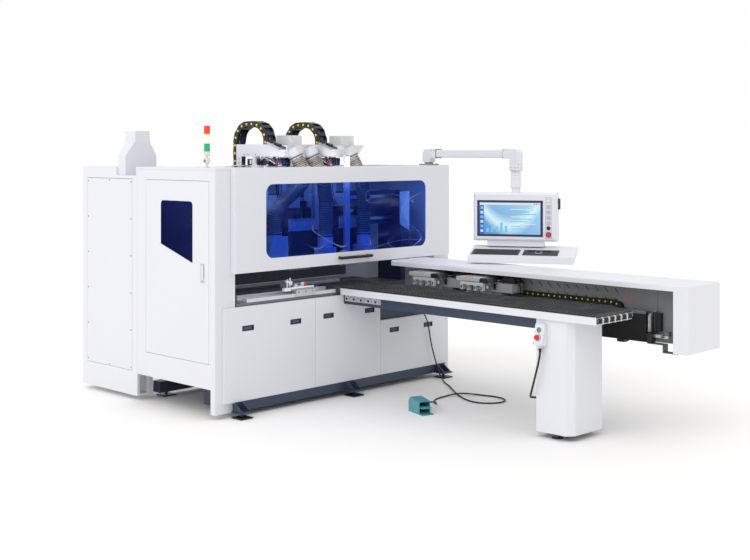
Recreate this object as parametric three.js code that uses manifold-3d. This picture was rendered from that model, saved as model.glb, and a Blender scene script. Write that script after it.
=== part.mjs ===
// A six sided drilling machine for cabinet boards: an enclosed drilling portal, a brush table that
// feeds it, a beam with two driven clamps beside the table, and an operator's console on an arm.
// Millimetres. X runs right along the front, Y away from it and Z up. The near left corner of the
// enclosure stands at X = 0, Y = 0, and the last lines move the origin to the front left foot.
import * as THREE from 'three';
import { mergeVertices } from 'three/addons/utils/BufferGeometryUtils.js';
import { ConvexGeometry } from 'three/addons/geometries/ConvexGeometry.js';
import Module from 'manifold-3d';

const wasm = await Module();
wasm.setup();

// Driving dimensions of the machine.
const cabinetWidth = 2869;
const cabinetDepth = 1095;
const cabinetTop = 2047;
const skirtHeight = 240;
const workHeight = 980;
const tableReach = 2730;
const beamReach = 3128;
const consoleArmReach = 1069;
const archRise = 376;
const ductRise = 317;

// What keeps its distance from the enclosure's right side, from its back, from the beam's far end
// and from the table's far end.
const rightInset = {
  tube: 74, cover: 52, window: 392, roofHole: 309, slot: 369, deck: 229, portal: 239, rearBeam: 225,
  swivel: 169, foot: 166, rearFoot: 329, rail: 469, gland: 444, pull: 320,
};
const backInset = { door: 129, pivot: 135, beam: 17, window: 346 };
const behindBack = {
  cover: 83, coverEnd: 798, end: 879, duct: 215, ductEnd: 329, neck: 194, neckEnd: 350, notch: 22,
};
const beamInset = { box: 128, slots: 651, rail: 403, tray: 528, trayBack: 1828, chainBend: 740, chainLow: 1428,
  chainNear: 1744 };
// What keeps its height over the roof, and its depth below it.
const aboveRoof = {
  knuckle: 32, knuckleEnd: 85, lamp: 95, lens: 135, lenses: [202, 280, 347], post: 28, arm: 74, armEnd: 150,
};
const belowRoof = {
  door: 109, doorWindow: 279, sillFront: 789, sillBack: 650, coverWindow: 140, controlCover: 107, duct: 78,
};
const tableInset = { legFront: 240, legFoot: 414, buttons: 498, legBack: 559, tie: 630 };

// What all pieces share.
const fit = 0.3;
const seam = 3;
const overrun = 9;
const tubeSides = 8;
const cordSides = 6;
const roundSides = 12;
const arcSteps = 4;

const finish = (color, roughness, metalness = 0) => ({ color, roughness, metalness });
const white = finish(0xe6e8eb, 0.42);
const navy = finish(0x2e3a50, 0.48);
const black = finish(0x1b1c1f, 0.55);
const darkGrey = finish(0x3b3d40, 0.6);
const steel = finish(0xa9adb2, 0.35, 0.8);
const aluminium = finish(0xc4c7cb, 0.38, 0.7);
const tinted = finish(0x12205c, 0.12);
const brush = finish(0x3a3a3a, 0.9);
const hoseGrey = finish(0xb5ada0, 0.65);
const teal = finish(0x3f8f8f, 0.4);
const green = finish(0x2fa874, 0.35);
const red = finish(0xd4202a, 0.35);

// A geometry becomes a solid once its shared corners are one.
function solidOf(geometry) {
  const bare = geometry.clone();
  bare.deleteAttribute('normal');
  bare.deleteAttribute('uv');
  const merged = mergeVertices(bare);
  const triVerts = [];
  for (let i = 0; i < merged.index.count; i += 3) {
    const [a, b, c] = [0, 1, 2].map((corner) => merged.index.getX(i + corner));
    if (a !== b && b !== c && c !== a) triVerts.push(a, b, c);
  }
  const vertProperties = merged.attributes.position.array;
  return new wasm.Manifold(new wasm.Mesh({ numProp: 3, vertProperties,
    triVerts: Uint32Array.from(triVerts) }));
}

const join = (...solids) => solids.flat().reduce((whole, next) => whole.add(next));
const cut = (whole, ...tools) => tools.flat().reduce((rest, tool) => rest.subtract(tool), whole);

function block([x0, x1], [y0, y1], [z0, z1]) {
  const geometry = new THREE.BoxGeometry(x1 - x0, y1 - y0, z1 - z0);
  geometry.translate((x0 + x1) / 2, (y0 + y1) / 2, (z0 + z1) / 2);
  return solidOf(geometry);
}

const around = (centre, size) => [centre - size / 2, centre + size / 2];

// A closed outline whose corners may be rounded: radii is one radius, or one for each corner.
function outline(points, radii = 0) {
  const shape = new THREE.Shape();
  const corners = points.map(([a, b]) => new THREE.Vector2(a, b));
  corners.forEach((corner, i) => {
    const radius = Array.isArray(radii) ? radii[i] : radii;
    const before = corners[(i + corners.length - 1) % corners.length].clone().sub(corner).normalize();
    const after = corners[(i + 1) % corners.length].clone().sub(corner).normalize();
    if (!radius) {
      if (i === 0) shape.moveTo(corner.x, corner.y);
      else shape.lineTo(corner.x, corner.y);
      return;
    }
    const half = Math.acos(before.dot(after)) / 2;
    const start = corner.clone().addScaledVector(before, radius / Math.tan(half));
    const end = corner.clone().addScaledVector(after, radius / Math.tan(half));
    const centre = corner.clone().addScaledVector(before.clone().add(after).normalize(),
      radius / Math.sin(half));
    const from = start.clone().sub(centre).angle();
    const to = end.clone().sub(centre).angle();
    shape.absarc(centre.x, centre.y, radius, from, to, before.cross(after) > 0);
  });
  return shape;
}

const rectangle = ([a0, a1], [b0, b1]) => [[a0, b0], [a1, b0], [a1, b1], [a0, b1]];

function extruded(shape, [low, high], ...rows) {
  const depth = high - low;
  const geometry = new THREE.ExtrudeGeometry(shape, { depth, bevelEnabled: false, curveSegments: arcSteps });
  geometry.applyMatrix4(new THREE.Matrix4().set(...rows, 0, 0, 0, 1));
  return solidOf(geometry);
}

// Outlines drawn in (Y, Z), (X, Z) or (X, Y) and drawn out along the third axis.
const alongX = (shape, span) => extruded(shape, span, 0, 0, 1, span[0], 1, 0, 0, 0, 0, 1, 0, 0);
const alongY = (shape, span) => extruded(shape, span, 1, 0, 0, 0, 0, 0, -1, span[1], 0, 1, 0, 0);
const alongZ = (shape, span) => extruded(shape, span, 1, 0, 0, 0, 0, 1, 0, 0, 0, 0, 1, span[0]);

// A round bar, or a cone where the two radii differ, between two points.
function rod(from, to, radius, endRadius = radius, sides = roundSides) {
  const a = new THREE.Vector3(...from);
  const b = new THREE.Vector3(...to);
  const geometry = new THREE.CylinderGeometry(endRadius, radius, a.distanceTo(b), sides);
  const turn = new THREE.Quaternion().setFromUnitVectors(new THREE.Vector3(0, 1, 0),
    b.clone().sub(a).normalize());
  geometry.applyQuaternion(turn);
  geometry.translate(...a.add(b).divideScalar(2).toArray());
  return solidOf(geometry);
}

const machine = new THREE.Group();
const groups = {};

function place(name, solid, look, parent = machine) {
  const { vertProperties, triVerts } = solid.getMesh();
  const geometry = new THREE.BufferGeometry();
  geometry.setAttribute('position', new THREE.BufferAttribute(new Float32Array(vertProperties), 3));
  geometry.setIndex([...triVerts]);
  geometry.computeVertexNormals();
  const mesh = new THREE.Mesh(geometry, new THREE.MeshStandardMaterial(look));
  mesh.name = name;
  parent.add(mesh);
}

// Base frame: the welded bed with its three open bays, the tube along the front, the cross beam at
// the back, the foot brackets and the two arms that carry the table and tie in the clamp beam.
const postWidth = 207;
const bed = {
  left: postWidth + fit, right: cabinetWidth - postWidth - fit, bottom: 45, top: 900,
  lowDepth: 417, depth: 700, flareBottom: 560, flareTop: 640, wall: 22, bayDepth: 380,
};
const bay = { bottom: 180, rib: 44, share: [0.33, 0.66] };
const frontTube = {
  front: -24, depth: 100, height: 78, wall: 6, right: cabinetWidth - rightInset.tube, openLength: 140,
};
const rearBeam = {
  left: 225, right: cabinetWidth - rightInset.rearBeam, front: cabinetDepth - backInset.beam, depth: 102,
  bottom: 40, height: 100,
};
const rails = { at: [1300, cabinetWidth - rightInset.rail], width: 100, height: 95 };
const panelTops = { first: 901, second: 901, notch: 820, third: 625 };
const panelSplits = { left: 74, first: 1083, second: 1894, right: cabinetWidth - rightInset.tube };
const foot = {
  x: [215, 1495, cabinetWidth - rightInset.foot], y: -84, bracketWidth: 130, bracketReach: 121,
  bracketPlate: 12,
  gusset: 12, gussetSpread: 44, gussetTop: 118, gussetNose: 30,
  pad: 125, padHeight: 12, stem: 12, nut: 20, nutHeight: 10, rearX: [330, cabinetWidth - rightInset.rearFoot],
};
const arm = { x: [1472, 1780], width: 80, height: 86, tieY: tableInset.tie - tableReach, tieWidth: 100 };
const tableBottom = 908;
const legBack = tableInset.legBack - tableReach;
const clampBeam = { left: 2050, right: 2130, bottom: 711, top: 925 };
const cordGland = { x: cabinetWidth - rightInset.gland, z: 665, radius: 10, length: 20, collar: 15,
  collarLength: 6 };

function levellingFoot(x, y, top) {
  return join(
    block(around(x, foot.pad), around(y, foot.pad), [0, foot.padHeight]),
    rod([x, y, foot.padHeight - fit], [x, y, top], foot.stem),
    rod([x, y, top - foot.nutHeight], [x, y, top], foot.nut, foot.nut, 6),
  );
}
const bedBody = alongX(outline([
  [0, bed.bottom], [bed.lowDepth, bed.bottom], [bed.lowDepth, bed.flareBottom],
  [bed.depth, bed.flareTop], [bed.depth, bed.top], [0, bed.top],
]), [bed.left, bed.right]);
const bayTops = [panelTops.first - bay.rib, panelTops.notch - bay.rib, panelTops.third - bay.rib];
const bayEdges = [bed.left + bay.rib, panelSplits.first, panelSplits.second, bed.right - bay.rib];
const bays = bayTops.map((top, i) => block(
  [bayEdges[i] + (i ? bay.rib / 2 : 0), bayEdges[i + 1] - (i < 2 ? bay.rib / 2 : 0)],
  [-overrun, bed.bayDepth], [bay.bottom, top],
));
const tubeTop = bed.bottom + frontTube.height;
const tubeBack = frontTube.front + frontTube.depth;
const frontTubeBody = cut(
  block([bed.left + fit, frontTube.right], [frontTube.front, tubeBack], [bed.bottom, tubeTop]),
  block(
    [frontTube.right - frontTube.openLength, frontTube.right + overrun],
    [frontTube.front + frontTube.wall, tubeBack - frontTube.wall],
    [bed.bottom + frontTube.wall, tubeTop - frontTube.wall],
  ),
);
const brackets = foot.x.flatMap((x) => {
  const reach = [frontTube.front - foot.bracketReach, frontTube.front + frontTube.wall];
  const plateTop = bed.bottom + foot.bracketPlate;
  const side = outline([
    [reach[1], plateTop - fit], [reach[1], foot.gussetTop],
    [frontTube.front - foot.gussetNose, foot.gussetTop],
    [reach[0] + foot.gusset, plateTop + foot.gusset / 2], [reach[0] + foot.gusset, plateTop - fit],
  ]);
  return [
    block(around(x, foot.bracketWidth), reach, [bed.bottom, plateTop]),
    ...[-1, 1].map((way) => alongX(side, around(x + way * foot.gussetSpread, foot.gusset))),
  ];
});
const rearTop = rearBeam.bottom + rearBeam.height;
const rearBody = block([rearBeam.left, rearBeam.right],
  around(rearBeam.front + rearBeam.depth / 2, rearBeam.depth),
  [rearBeam.bottom, rearTop]);
const railBodies = rails.at.map((x) => block(around(x, rails.width),
  [bed.lowDepth - overrun, rearBeam.front + overrun],
  [bed.bottom, bed.bottom + rails.height]));
const armTop = tableBottom - fit;
const armBodies = arm.x.map((x) => block(around(x, arm.width), [legBack + fit, overrun],
  [armTop - arm.height, armTop]));
const tie = block([arm.x[1], clampBeam.left - fit], around(arm.tieY, arm.tieWidth),
  [armTop - arm.height, armTop]);
const gland = [
  rod([cordGland.x, overrun, cordGland.z], [cordGland.x, -cordGland.length, cordGland.z], cordGland.radius),
  rod([cordGland.x, overrun, cordGland.z], [cordGland.x, -cordGland.collarLength, cordGland.z],
    cordGland.collar,
    cordGland.collar, 6),
];
const rearFeet = foot.rearX.map((x) => levellingFoot(x, rearBeam.front + rearBeam.depth / 2,
  rearBeam.bottom + fit));
place('base_frame', join(cut(bedBody, bays), frontTubeBody, brackets, rearBody, rearFeet, railBodies,
  armBodies, tie,
  gland), navy);

// Levelling feet: a square rubber faced pad, a stem and a nut under each front bracket.
foot.x.forEach((x, i) => {
  place(`foot_front_${i + 1}`, levellingFoot(x, foot.y, bed.bottom - fit), black);
});

// Enclosure: folded sheet posts and side panels, back panel and roof. The left side has a doorway.
const sheet = { fold: 30, post: 60, face: 4, roof: 20, frontFold: 67 };
const roofBottom = cabinetTop - sheet.roof;
const postBottom = { left: 40, right: 70 };
const door = {
  front: 85, back: cabinetDepth - backInset.door, bottom: 447, top: cabinetTop - belowRoof.door, thick: 28,
  face: 3, rim: 34, windowFront: 301, windowBack: cabinetDepth - backInset.window, windowRadius: 35,
  windowTop: cabinetTop - belowRoof.doorWindow, sillFront: cabinetTop - belowRoof.sillFront,
  sillBack: cabinetTop - belowRoof.sillBack,
  paneOverlap: 14, pane: 5, pivotX: 6, pivotY: cabinetDepth - backInset.pivot, pin: 4, pinReach: 14,
};
const boardSlot = { left: 300, right: cabinetWidth - rightInset.slot, bottom: 926, top: 1175 };
const roofHole = { left: 480, right: cabinetWidth - rightInset.roofHole, front: 24, back: 724 };

function sidePanel([x0, x1], [postLow, postHigh], bottom) {
  const shell = cut(
    block([postLow, postHigh], [0, sheet.post], [bottom, roofBottom - fit]),
    block([postLow + sheet.face, postHigh - sheet.face], [sheet.face, sheet.post + overrun],
      [bottom - overrun, roofBottom + overrun]),
  );
  return join(shell, block([x0, x1], [0, cabinetDepth], [skirtHeight, roofBottom - fit]));
}
const doorway = block([-overrun, sheet.fold + overrun], [door.front - seam, door.back + seam],
  [door.bottom - seam, door.top + seam]);
const pivotSpans = (gap) => [
  [door.bottom - 2 * seam, door.bottom + door.pinReach + gap],
  [door.top - door.pinReach - gap, door.top + 2 * seam],
];
const pivots = (radius, gap) => pivotSpans(gap).map(([low, high]) => rod([door.pivotX, door.pivotY, low],
  [door.pivotX, door.pivotY, high], radius));
place('side_panel_left', join(
  cut(sidePanel([0, sheet.fold], [0, postWidth], postBottom.left), doorway), pivots(door.pin, 0),
), white);
const rightPost = [cabinetWidth - postWidth, cabinetWidth];
const tubeNotch = block([rightPost[0] - overrun, frontTube.right + fit], [-overrun, sheet.post + overrun],
  [0, tubeTop + fit]);
place('side_panel_right', cut(sidePanel([cabinetWidth - sheet.fold, cabinetWidth], rightPost,
  postBottom.right),
  tubeNotch), white);
place('rear_panel', cut(
  block([sheet.fold + fit, cabinetWidth - sheet.fold - fit], [cabinetDepth - sheet.fold, cabinetDepth],
    [skirtHeight, roofBottom - fit]),
  block([boardSlot.left, boardSlot.right], [0, cabinetDepth + overrun], [boardSlot.bottom, boardSlot.top]),
), white);
place('roof_panel', join(
  cut(
    block([0, cabinetWidth], [0, cabinetDepth], [roofBottom, cabinetTop]),
    block([roofHole.left, roofHole.right], [roofHole.front, roofHole.back], [roofBottom - overrun,
      cabinetTop + overrun]),
  ),
  block([postWidth + fit, rightPost[0] - fit], [0, sheet.roof],
    [roofBottom - sheet.frontFold, roofBottom + fit]),
), white);

// Side door: a folded tray with a tinted window whose sill slopes down to the lock side.
const doorTray = cut(
  block([0, door.thick], [door.front, door.back], [door.bottom, door.top]),
  block([door.face, door.thick + overrun], [door.front + door.rim, door.back - door.rim],
    [door.bottom + door.rim, door.top - door.rim]),
);
const windowOutline = (grow) => outline([
  [door.windowFront - grow, door.sillFront - grow], [door.windowBack + grow, door.sillBack - grow],
  [door.windowBack + grow, door.windowTop + grow], [door.windowFront - grow, door.windowTop + grow],
], [0, 0, door.windowRadius, door.windowRadius]);
const lock = { y: 161, bottom: 1108, top: 1260, width: 44, proud: 5, leverInset: 9, leverProud: 9 };
place('side_door', join(
  cut(doorTray, alongX(windowOutline(0), [-overrun, door.thick + overrun]), pivots(door.pin + fit, seam)),
  block([-lock.proud, door.thick], around(lock.y, lock.width), [lock.bottom, lock.top]),
  block([-lock.leverProud, 0], around(lock.y, lock.width - 2 * lock.leverInset),
    [lock.bottom + 3 * lock.leverInset, lock.top - lock.leverInset]),
), white);
place('side_door_window', alongX(windowOutline(door.paneOverlap),
  [door.face + fit, door.face + fit + door.pane]),
  tinted);

// Front cover: a folded tray hinged along its top edge, with a wide tinted window and a bar handle.
const cover = {
  left: 161, right: cabinetWidth - rightInset.cover, bottom: 1181, top: cabinetTop - seam / 2, front: -60,
  face: 6, rim: 40,
  windowLeft: 491, windowRight: cabinetWidth - rightInset.window, windowBottom: 1287,
  windowTop: cabinetTop - belowRoof.coverWindow, windowRadius: 75,
  paneOverlap: 22, pane: 5,
};
const coverTray = cut(
  block([cover.left, cover.right], [cover.front, -fit], [cover.bottom, cover.top]),
  block([cover.left + cover.rim, cover.right - cover.rim], [cover.front + cover.face, overrun],
    [cover.bottom + cover.rim, cover.top - cover.rim]),
);
const coverWindow = (grow) => outline(rectangle([cover.windowLeft - grow, cover.windowRight + grow],
  [cover.windowBottom - grow, cover.windowTop + grow]), cover.windowRadius + grow);
place('front_cover', cut(coverTray, alongY(coverWindow(0), [cover.front - overrun, overrun])), white);
const paneFront = cover.front + cover.face + fit;
place('cover_window', alongY(coverWindow(cover.paneOverlap), [paneFront, paneFront + cover.pane]), tinted);
const handle = { left: 1311, right: 1710, z: 1240, radius: 13, standOff: 42, postWidth: 26, postHeight: 24 };
const handleY = cover.front - fit - handle.standOff;
place('cover_handle', join(
  rod([handle.left, handleY, handle.z], [handle.right, handleY, handle.z], handle.radius, handle.radius, 10),
  [handle.left + handle.postWidth, handle.right - handle.postWidth].map((x) => alongZ(outline([
    [x - handle.postWidth / 2, cover.front - fit], [x + handle.postWidth / 2, cover.front - fit],
    [x + handle.postWidth / 3, handleY], [x - handle.postWidth / 3, handleY],
  ].reverse()), around(handle.z, handle.postHeight))),
), black);

// Service panels: three folded trays hung on the front of the bed, each with two flush pulls.
const panel = { bottom: 125, thick: 25, face: 3, rim: 26, notchLeft: 1426 };
const pull = { width: 125, height: 45, depth: 12, frame: 8 };
const pulls = {
  service_panel_left: [[325, 721], [852, 721]],
  service_panel_middle: [[1239, 733], [1753, 733]],
  service_panel_right: [[2079, 522], [cabinetWidth - rightInset.pull, 522]],
};
function servicePanel(name, [left, right], top, notch) {
  const tray = cut(
    block([left, right], [-panel.thick, -fit], [panel.bottom, top]),
    block([left + panel.rim, right - panel.rim], [panel.face - panel.thick, overrun],
      [panel.bottom + panel.rim, (notch ? notch.top : top) - panel.rim]),
  );
  const shaped = notch ? cut(tray, block([notch.left, right + overrun], [-panel.thick - overrun, overrun],
    [notch.top, top + overrun])) : tray;
  const cups = pulls[name].map(([x, z]) => block(around(x, pull.width + 2 * pull.frame),
    [-panel.thick + fit, -panel.thick + panel.face + pull.depth], around(z, pull.height + 2 * pull.frame)));
  const mouths = pulls[name].map(([x, z]) => block(around(x, pull.width), [-panel.thick - overrun,
    -panel.thick + pull.depth], around(z, pull.height)));
  place(name, cut(join(shaped, cups), mouths), white);
}
servicePanel('service_panel_left', [panelSplits.left, panelSplits.first - seam], panelTops.first);
servicePanel('service_panel_middle', [panelSplits.first, panelSplits.second - seam], panelTops.second,
  { left: panel.notchLeft, top: panelTops.notch });
servicePanel('service_panel_right', [panelSplits.second, panelSplits.right], panelTops.third);

// Control cabinet on the left behind the side door, with a flush cover and an exhaust duct. Its
// foot is narrow, so that the frame's cross beam passes beneath it.
const control = {
  back: cabinetDepth + behindBack.end, depth: 400, footDepth: 163, bottom: 43,
  coverFront: cabinetDepth + behindBack.cover, coverBack: cabinetDepth + behindBack.coverEnd,
  coverBottom: 259, coverTop: cabinetTop - belowRoof.controlCover, coverDepth: 20,
  holeLeft: 28, holeRight: 118, holeBottom: 60, holeTop: 215, holeDepth: 70,
};
const controlFront = cabinetDepth + fit;
const duct = {
  left: 20, right: 352, front: cabinetDepth + behindBack.duct, back: cabinetDepth + behindBack.ductEnd,
  bottom: cabinetTop - belowRoof.duct, shoulderDrop: 219, neckLength: 94, top: cabinetTop + ductRise,
  neckLeft: 108, neckRight: 265, neckFront: cabinetDepth + behindBack.neck,
  neckBack: cabinetDepth + behindBack.neckEnd, wall: 5, notchFront: cabinetDepth + behindBack.notch,
};
place('control_cabinet', cut(
  join(
    block([0, control.depth], [controlFront, control.back], [skirtHeight, cabinetTop]),
    block([0, control.footDepth], [controlFront, control.back], [control.bottom, skirtHeight + fit]),
  ),
  block([-overrun, control.coverDepth], [control.coverFront - seam, control.coverBack + seam],
    [control.coverBottom - seam, control.coverTop + seam]),
  block([control.holeLeft, control.holeRight], [0, controlFront + control.holeDepth],
    [control.holeBottom, control.holeTop]),
  block([-overrun, duct.right + fit], [duct.notchFront, duct.back + fit],
    [duct.bottom, cabinetTop + overrun]),
), white);
place('control_cabinet_cover', block([0, control.coverDepth - fit], [control.coverFront, control.coverBack],
  [control.coverBottom, control.coverTop]), white);
const loft = (lower, upper) => solidOf(new ConvexGeometry(
  [...lower, ...upper].map((p) => new THREE.Vector3(...p)),
));
const level = ([x0, x1], [y0, y1], z, inset) => [
  [x0 + inset, y0 + inset, z], [x1 - inset, y0 + inset, z], [x1 - inset, y1 - inset, z],
  [x0 + inset, y1 - inset, z],
];
const ductShoulder = duct.top - duct.shoulderDrop;
const neckBottom = duct.top - duct.neckLength;
const ductFoot = (z, inset) => level([duct.left, duct.right], [duct.front, duct.back], z, inset);
const ductNeck = (z, inset) => level([duct.neckLeft, duct.neckRight], [duct.neckFront, duct.neckBack], z,
  inset);
place('exhaust_duct', cut(
  join(
    loft(ductFoot(duct.bottom + fit, 0), ductFoot(ductShoulder, 0)),
    loft(ductFoot(ductShoulder - fit, 0), ductNeck(neckBottom, 0)),
    loft(ductNeck(neckBottom - fit, 0), ductNeck(duct.top, 0)),
  ),
  loft(ductFoot(ductShoulder, duct.wall), ductNeck(neckBottom, duct.wall)),
  loft(ductNeck(neckBottom - fit, duct.wall), ductNeck(duct.top + overrun, duct.wall)),
), white);

// Tower light on the roof: a stem with a knuckle, and three stacked lenses under a cap.
const tower = {
  x: 60, y: 184, radius: 25, stem: 11, knuckle: 26, flange: 8, knuckleBottom: cabinetTop + aboveRoof.knuckle,
  knuckleTop: cabinetTop + aboveRoof.knuckleEnd, baseBottom: cabinetTop + aboveRoof.lamp,
  lensBottom: cabinetTop + aboveRoof.lens, lensTops: aboveRoof.lenses.map((rise) => cabinetTop + rise),
  cap: 13, groove: 1.5,
};
const turned = (profile, x, y) => {
  const geometry = new THREE.LatheGeometry(profile.map(([r, z]) => new THREE.Vector2(r, z)), roundSides);
  geometry.rotateX(Math.PI / 2);
  geometry.translate(x, y, 0);
  return solidOf(geometry);
};
const towerFoot = cabinetTop + fit;
place('tower_light_stem', turned([
  [0, towerFoot], [tower.radius, towerFoot], [tower.radius, towerFoot + tower.flange],
  [tower.stem, towerFoot + tower.flange], [tower.stem, tower.knuckleBottom],
  [tower.knuckle, tower.knuckleBottom + tower.flange], [tower.knuckle, tower.knuckleTop - tower.flange],
  [tower.stem, tower.knuckleTop], [tower.stem, tower.baseBottom], [tower.radius, tower.baseBottom],
  [tower.radius, tower.lensBottom - fit], [0, tower.lensBottom - fit],
], tower.x, tower.y), white);
const lensTop = tower.lensTops[2] + tower.cap;
place('tower_light_lenses', turned([
  [0, tower.lensBottom], [tower.radius, tower.lensBottom],
  ...tower.lensTops.flatMap((z) => [
    [tower.radius, z - tower.groove], [tower.radius - tower.groove, z], [tower.radius, z + tower.groove],
  ]),
  [tower.radius, lensTop - tower.groove], [tower.radius - tower.groove, lensTop], [0, lensTop],
], tower.x, tower.y), green);

// Work deck on the bed, with the two guide rails of the side stop.
const deck = { left: 230, right: cabinetWidth - rightInset.deck, front: 14, back: 690, thick: 24.7 };
const deckTop = bed.top + fit + deck.thick;
const rail = { left: 350, right: 1370, y: 42, width: 44, height: 27, neck: 24, secondY: 170,
  secondHeight: 43 };
function railSection(y, height) {
  return outline([
    [y - rail.width / 2, deckTop - fit], [y + rail.width / 2, deckTop - fit],
    [y + rail.width / 2, deckTop + height / 3],
    [y + rail.neck / 2, deckTop + height / 2], [y + rail.width / 2, deckTop + 2 * height / 3],
    [y + rail.width / 2, deckTop + height], [y - rail.width / 2, deckTop + height],
    [y - rail.width / 2, deckTop + 2 * height / 3], [y - rail.neck / 2, deckTop + height / 2],
    [y - rail.width / 2, deckTop + height / 3],
  ]);
}
place('work_deck', join(
  block([deck.left, deck.right], [deck.front, deck.back], [bed.top + fit, deckTop]),
  alongX(railSection(rail.y, rail.height), [rail.left, rail.right]),
  alongX(railSection(rail.secondY, rail.secondHeight), [rail.left, rail.right]),
), aluminium);

// Side stop: a saddle on the front rail with a stop post and a clamping knob.
const stop = {
  left: 879, right: 1130, front: -5, back: 110, saddleInset: 11, skirt: 8, plateBottom: 975, plate: 10,
  postX: 940, postWidth: 34, postHeight: 52, knobX: 1010, knobY: 44, knob: 15, knobTop: 1046, stem: 6,
  stemHeight: 14,
};
const railTop = deckTop + rail.height;
const stopTop = stop.plateBottom + stop.plate;
place('side_stop', join(
  block([stop.left, stop.right], [stop.front, stop.back], [stop.plateBottom, stopTop]),
  block([stop.left + stop.saddleInset, stop.right - stop.saddleInset],
    around(rail.y, rail.width + 2 * stop.skirt), [railTop + fit, stop.plateBottom + fit]),
  [-1, 1].map((way) => block([stop.left + stop.saddleInset, stop.right - stop.saddleInset],
    around(rail.y + way * (rail.width / 2 + fit + stop.skirt / 2), stop.skirt),
    [deckTop + seam, railTop + seam])),
  block(around(stop.postX, stop.postWidth), [stop.back - stop.postWidth, stop.back], [stopTop - fit,
    stopTop + stop.postHeight]),
  rod([stop.knobX, stop.knobY, stopTop - fit], [stop.knobX, stop.knobY, stopTop + stop.stemHeight],
    stop.stem),
  rod([stop.knobX, stop.knobY, stopTop + stop.stemHeight - fit], [stop.knobX, stop.knobY, stop.knobTop],
    stop.knob,
    stop.knob, 10),
), steel);

// Portal: a box beam on two uprights that stand on the deck, with two rails for the drilling heads.
const portal = {
  left: 240, right: cabinetWidth - rightInset.portal, front: 430, back: 610, bottom: 1480, top: 1800,
  upright: 120,
  uprightFront: 300,
  railLow: 1535, railHigh: 1745, railWidth: 30, railProud: 20, uprightBottom: deckTop + fit,
};
place('portal_beam', join(
  block([portal.left, portal.right], [portal.front, portal.back], [portal.bottom, portal.top]),
  [portal.left, portal.right - portal.upright].map((x) => block([x, x + portal.upright],
    [portal.uprightFront, portal.back], [portal.uprightBottom, portal.top])),
  [portal.railLow, portal.railHigh].map((z) => block([portal.left + portal.upright - fit,
    portal.right - portal.upright + fit], [portal.front - portal.railProud, portal.front + fit],
  around(z, portal.railWidth))),
), navy);

// Energy chain: jointed links along a path in the (Y, Z) plane. Each link has two side plates and
// two bars across, and the plates of every second link sit further in, so that the links read.
function chain([x0, x1], path, { pitch, height, plate, inset, bar, barSides }) {
  const count = Math.max(2, Math.round(path.getLength() / pitch));
  const joints = path.getSpacedPoints(count);
  const links = joints.slice(1).flatMap((to, i) => {
    const from = joints[i];
    const along = to.clone().sub(from).normalize();
    const across = new THREE.Vector2(-along.y, along.x);
    const at = (a, b) => {
      const p = from.clone().addScaledVector(along, a).addScaledVector(across, b);
      return [p.x, p.y];
    };
    const reach = from.distanceTo(to);
    const [nose, half] = [height / 4, height / 2];
    const start = i === 0 ? [at(0, half), at(0, -half)] : [at(0, half), at(-nose, 0), at(0, -half)];
    const end = i === count - 1 ? [at(reach, -half), at(reach, half)]
      : [at(reach, -half), at(reach + nose, 0), at(reach, half)];
    const side = outline([...start, ...end]);
    const inward = i % 2 ? inset : 0;
    const bars = barSides.map((way) => {
      const edge = way * (half - bar / 2);
      return alongX(outline([
        at(reach / 3, edge - bar / 2), at(2 * reach / 3, edge - bar / 2),
        at(2 * reach / 3, edge + bar / 2), at(reach / 3, edge + bar / 2),
      ]), [x0 + inward + plate / 2, x1 - inward - plate / 2]);
    });
    return [
      alongX(side, [x0 + inward, x0 + inward + plate]), alongX(side, [x1 - inward - plate, x1 - inward]),
      ...bars,
    ];
  });
  return join(links);
}
const archLink = { pitch: 68, height: 53, plate: 14, inset: 4, bar: 8, barSides: [-1, 1] };

// Ribbed hose: rings along a curve, two for each rib, with a bore whose rings are further apart.
function ribbedHose(curve, { crest, valley, bore, ribPitch, cuff }) {
  const length = curve.getLength();
  const ribs = Math.round((length - 2 * cuff) / ribPitch);
  const stations = [0, cuff];
  for (let i = 0; i < ribs; i += 1) {
    stations.push(cuff + (i + 0.5) * (length - 2 * cuff) / ribs, cuff + (i + 1) * (length - 2 * cuff) / ribs);
  }
  stations.push(length);
  const outerRadius = (i) => (i > 1 && i < stations.length - 2 && i % 2 === 0 ? crest : valley);
  const fine = stations.length * 4;
  const frames = curve.computeFrenetFrames(fine, false);
  const ring = (s, radius) => {
    const u = Math.min(s / length, 1);
    const k = Math.round(u * fine);
    const centre = curve.getPointAt(u);
    return Array.from({ length: tubeSides }, (_, j) => {
      const turn = 2 * Math.PI * j / tubeSides;
      return centre.clone().addScaledVector(frames.normals[k], radius * Math.cos(turn))
        .addScaledVector(frames.binormals[k], radius * Math.sin(turn));
    });
  };
  const outer = stations.map((s, i) => ring(s, outerRadius(i)));
  const innerCount = Math.ceil(ribs / 5);
  const inner = Array.from({ length: innerCount + 1 }, (_, i) => ring(i * length / innerCount, bore));
  const rings = [...outer, ...inner.reverse()];
  const positions = rings.flat().flatMap((p) => p.toArray());
  const index = [];
  rings.forEach((_, r) => {
    const next = (r + 1) % rings.length;
    for (let j = 0; j < tubeSides; j += 1) {
      const k = (j + 1) % tubeSides;
      const [a, b] = [r * tubeSides + j, r * tubeSides + k];
      const [c, d] = [next * tubeSides + j, next * tubeSides + k];
      index.push(a, b, c, b, d, c);
    }
  });
  const geometry = new THREE.BufferGeometry();
  geometry.setAttribute('position', new THREE.Float32BufferAttribute(positions, 3));
  geometry.setIndex(index);
  return solidOf(geometry);
}

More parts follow.
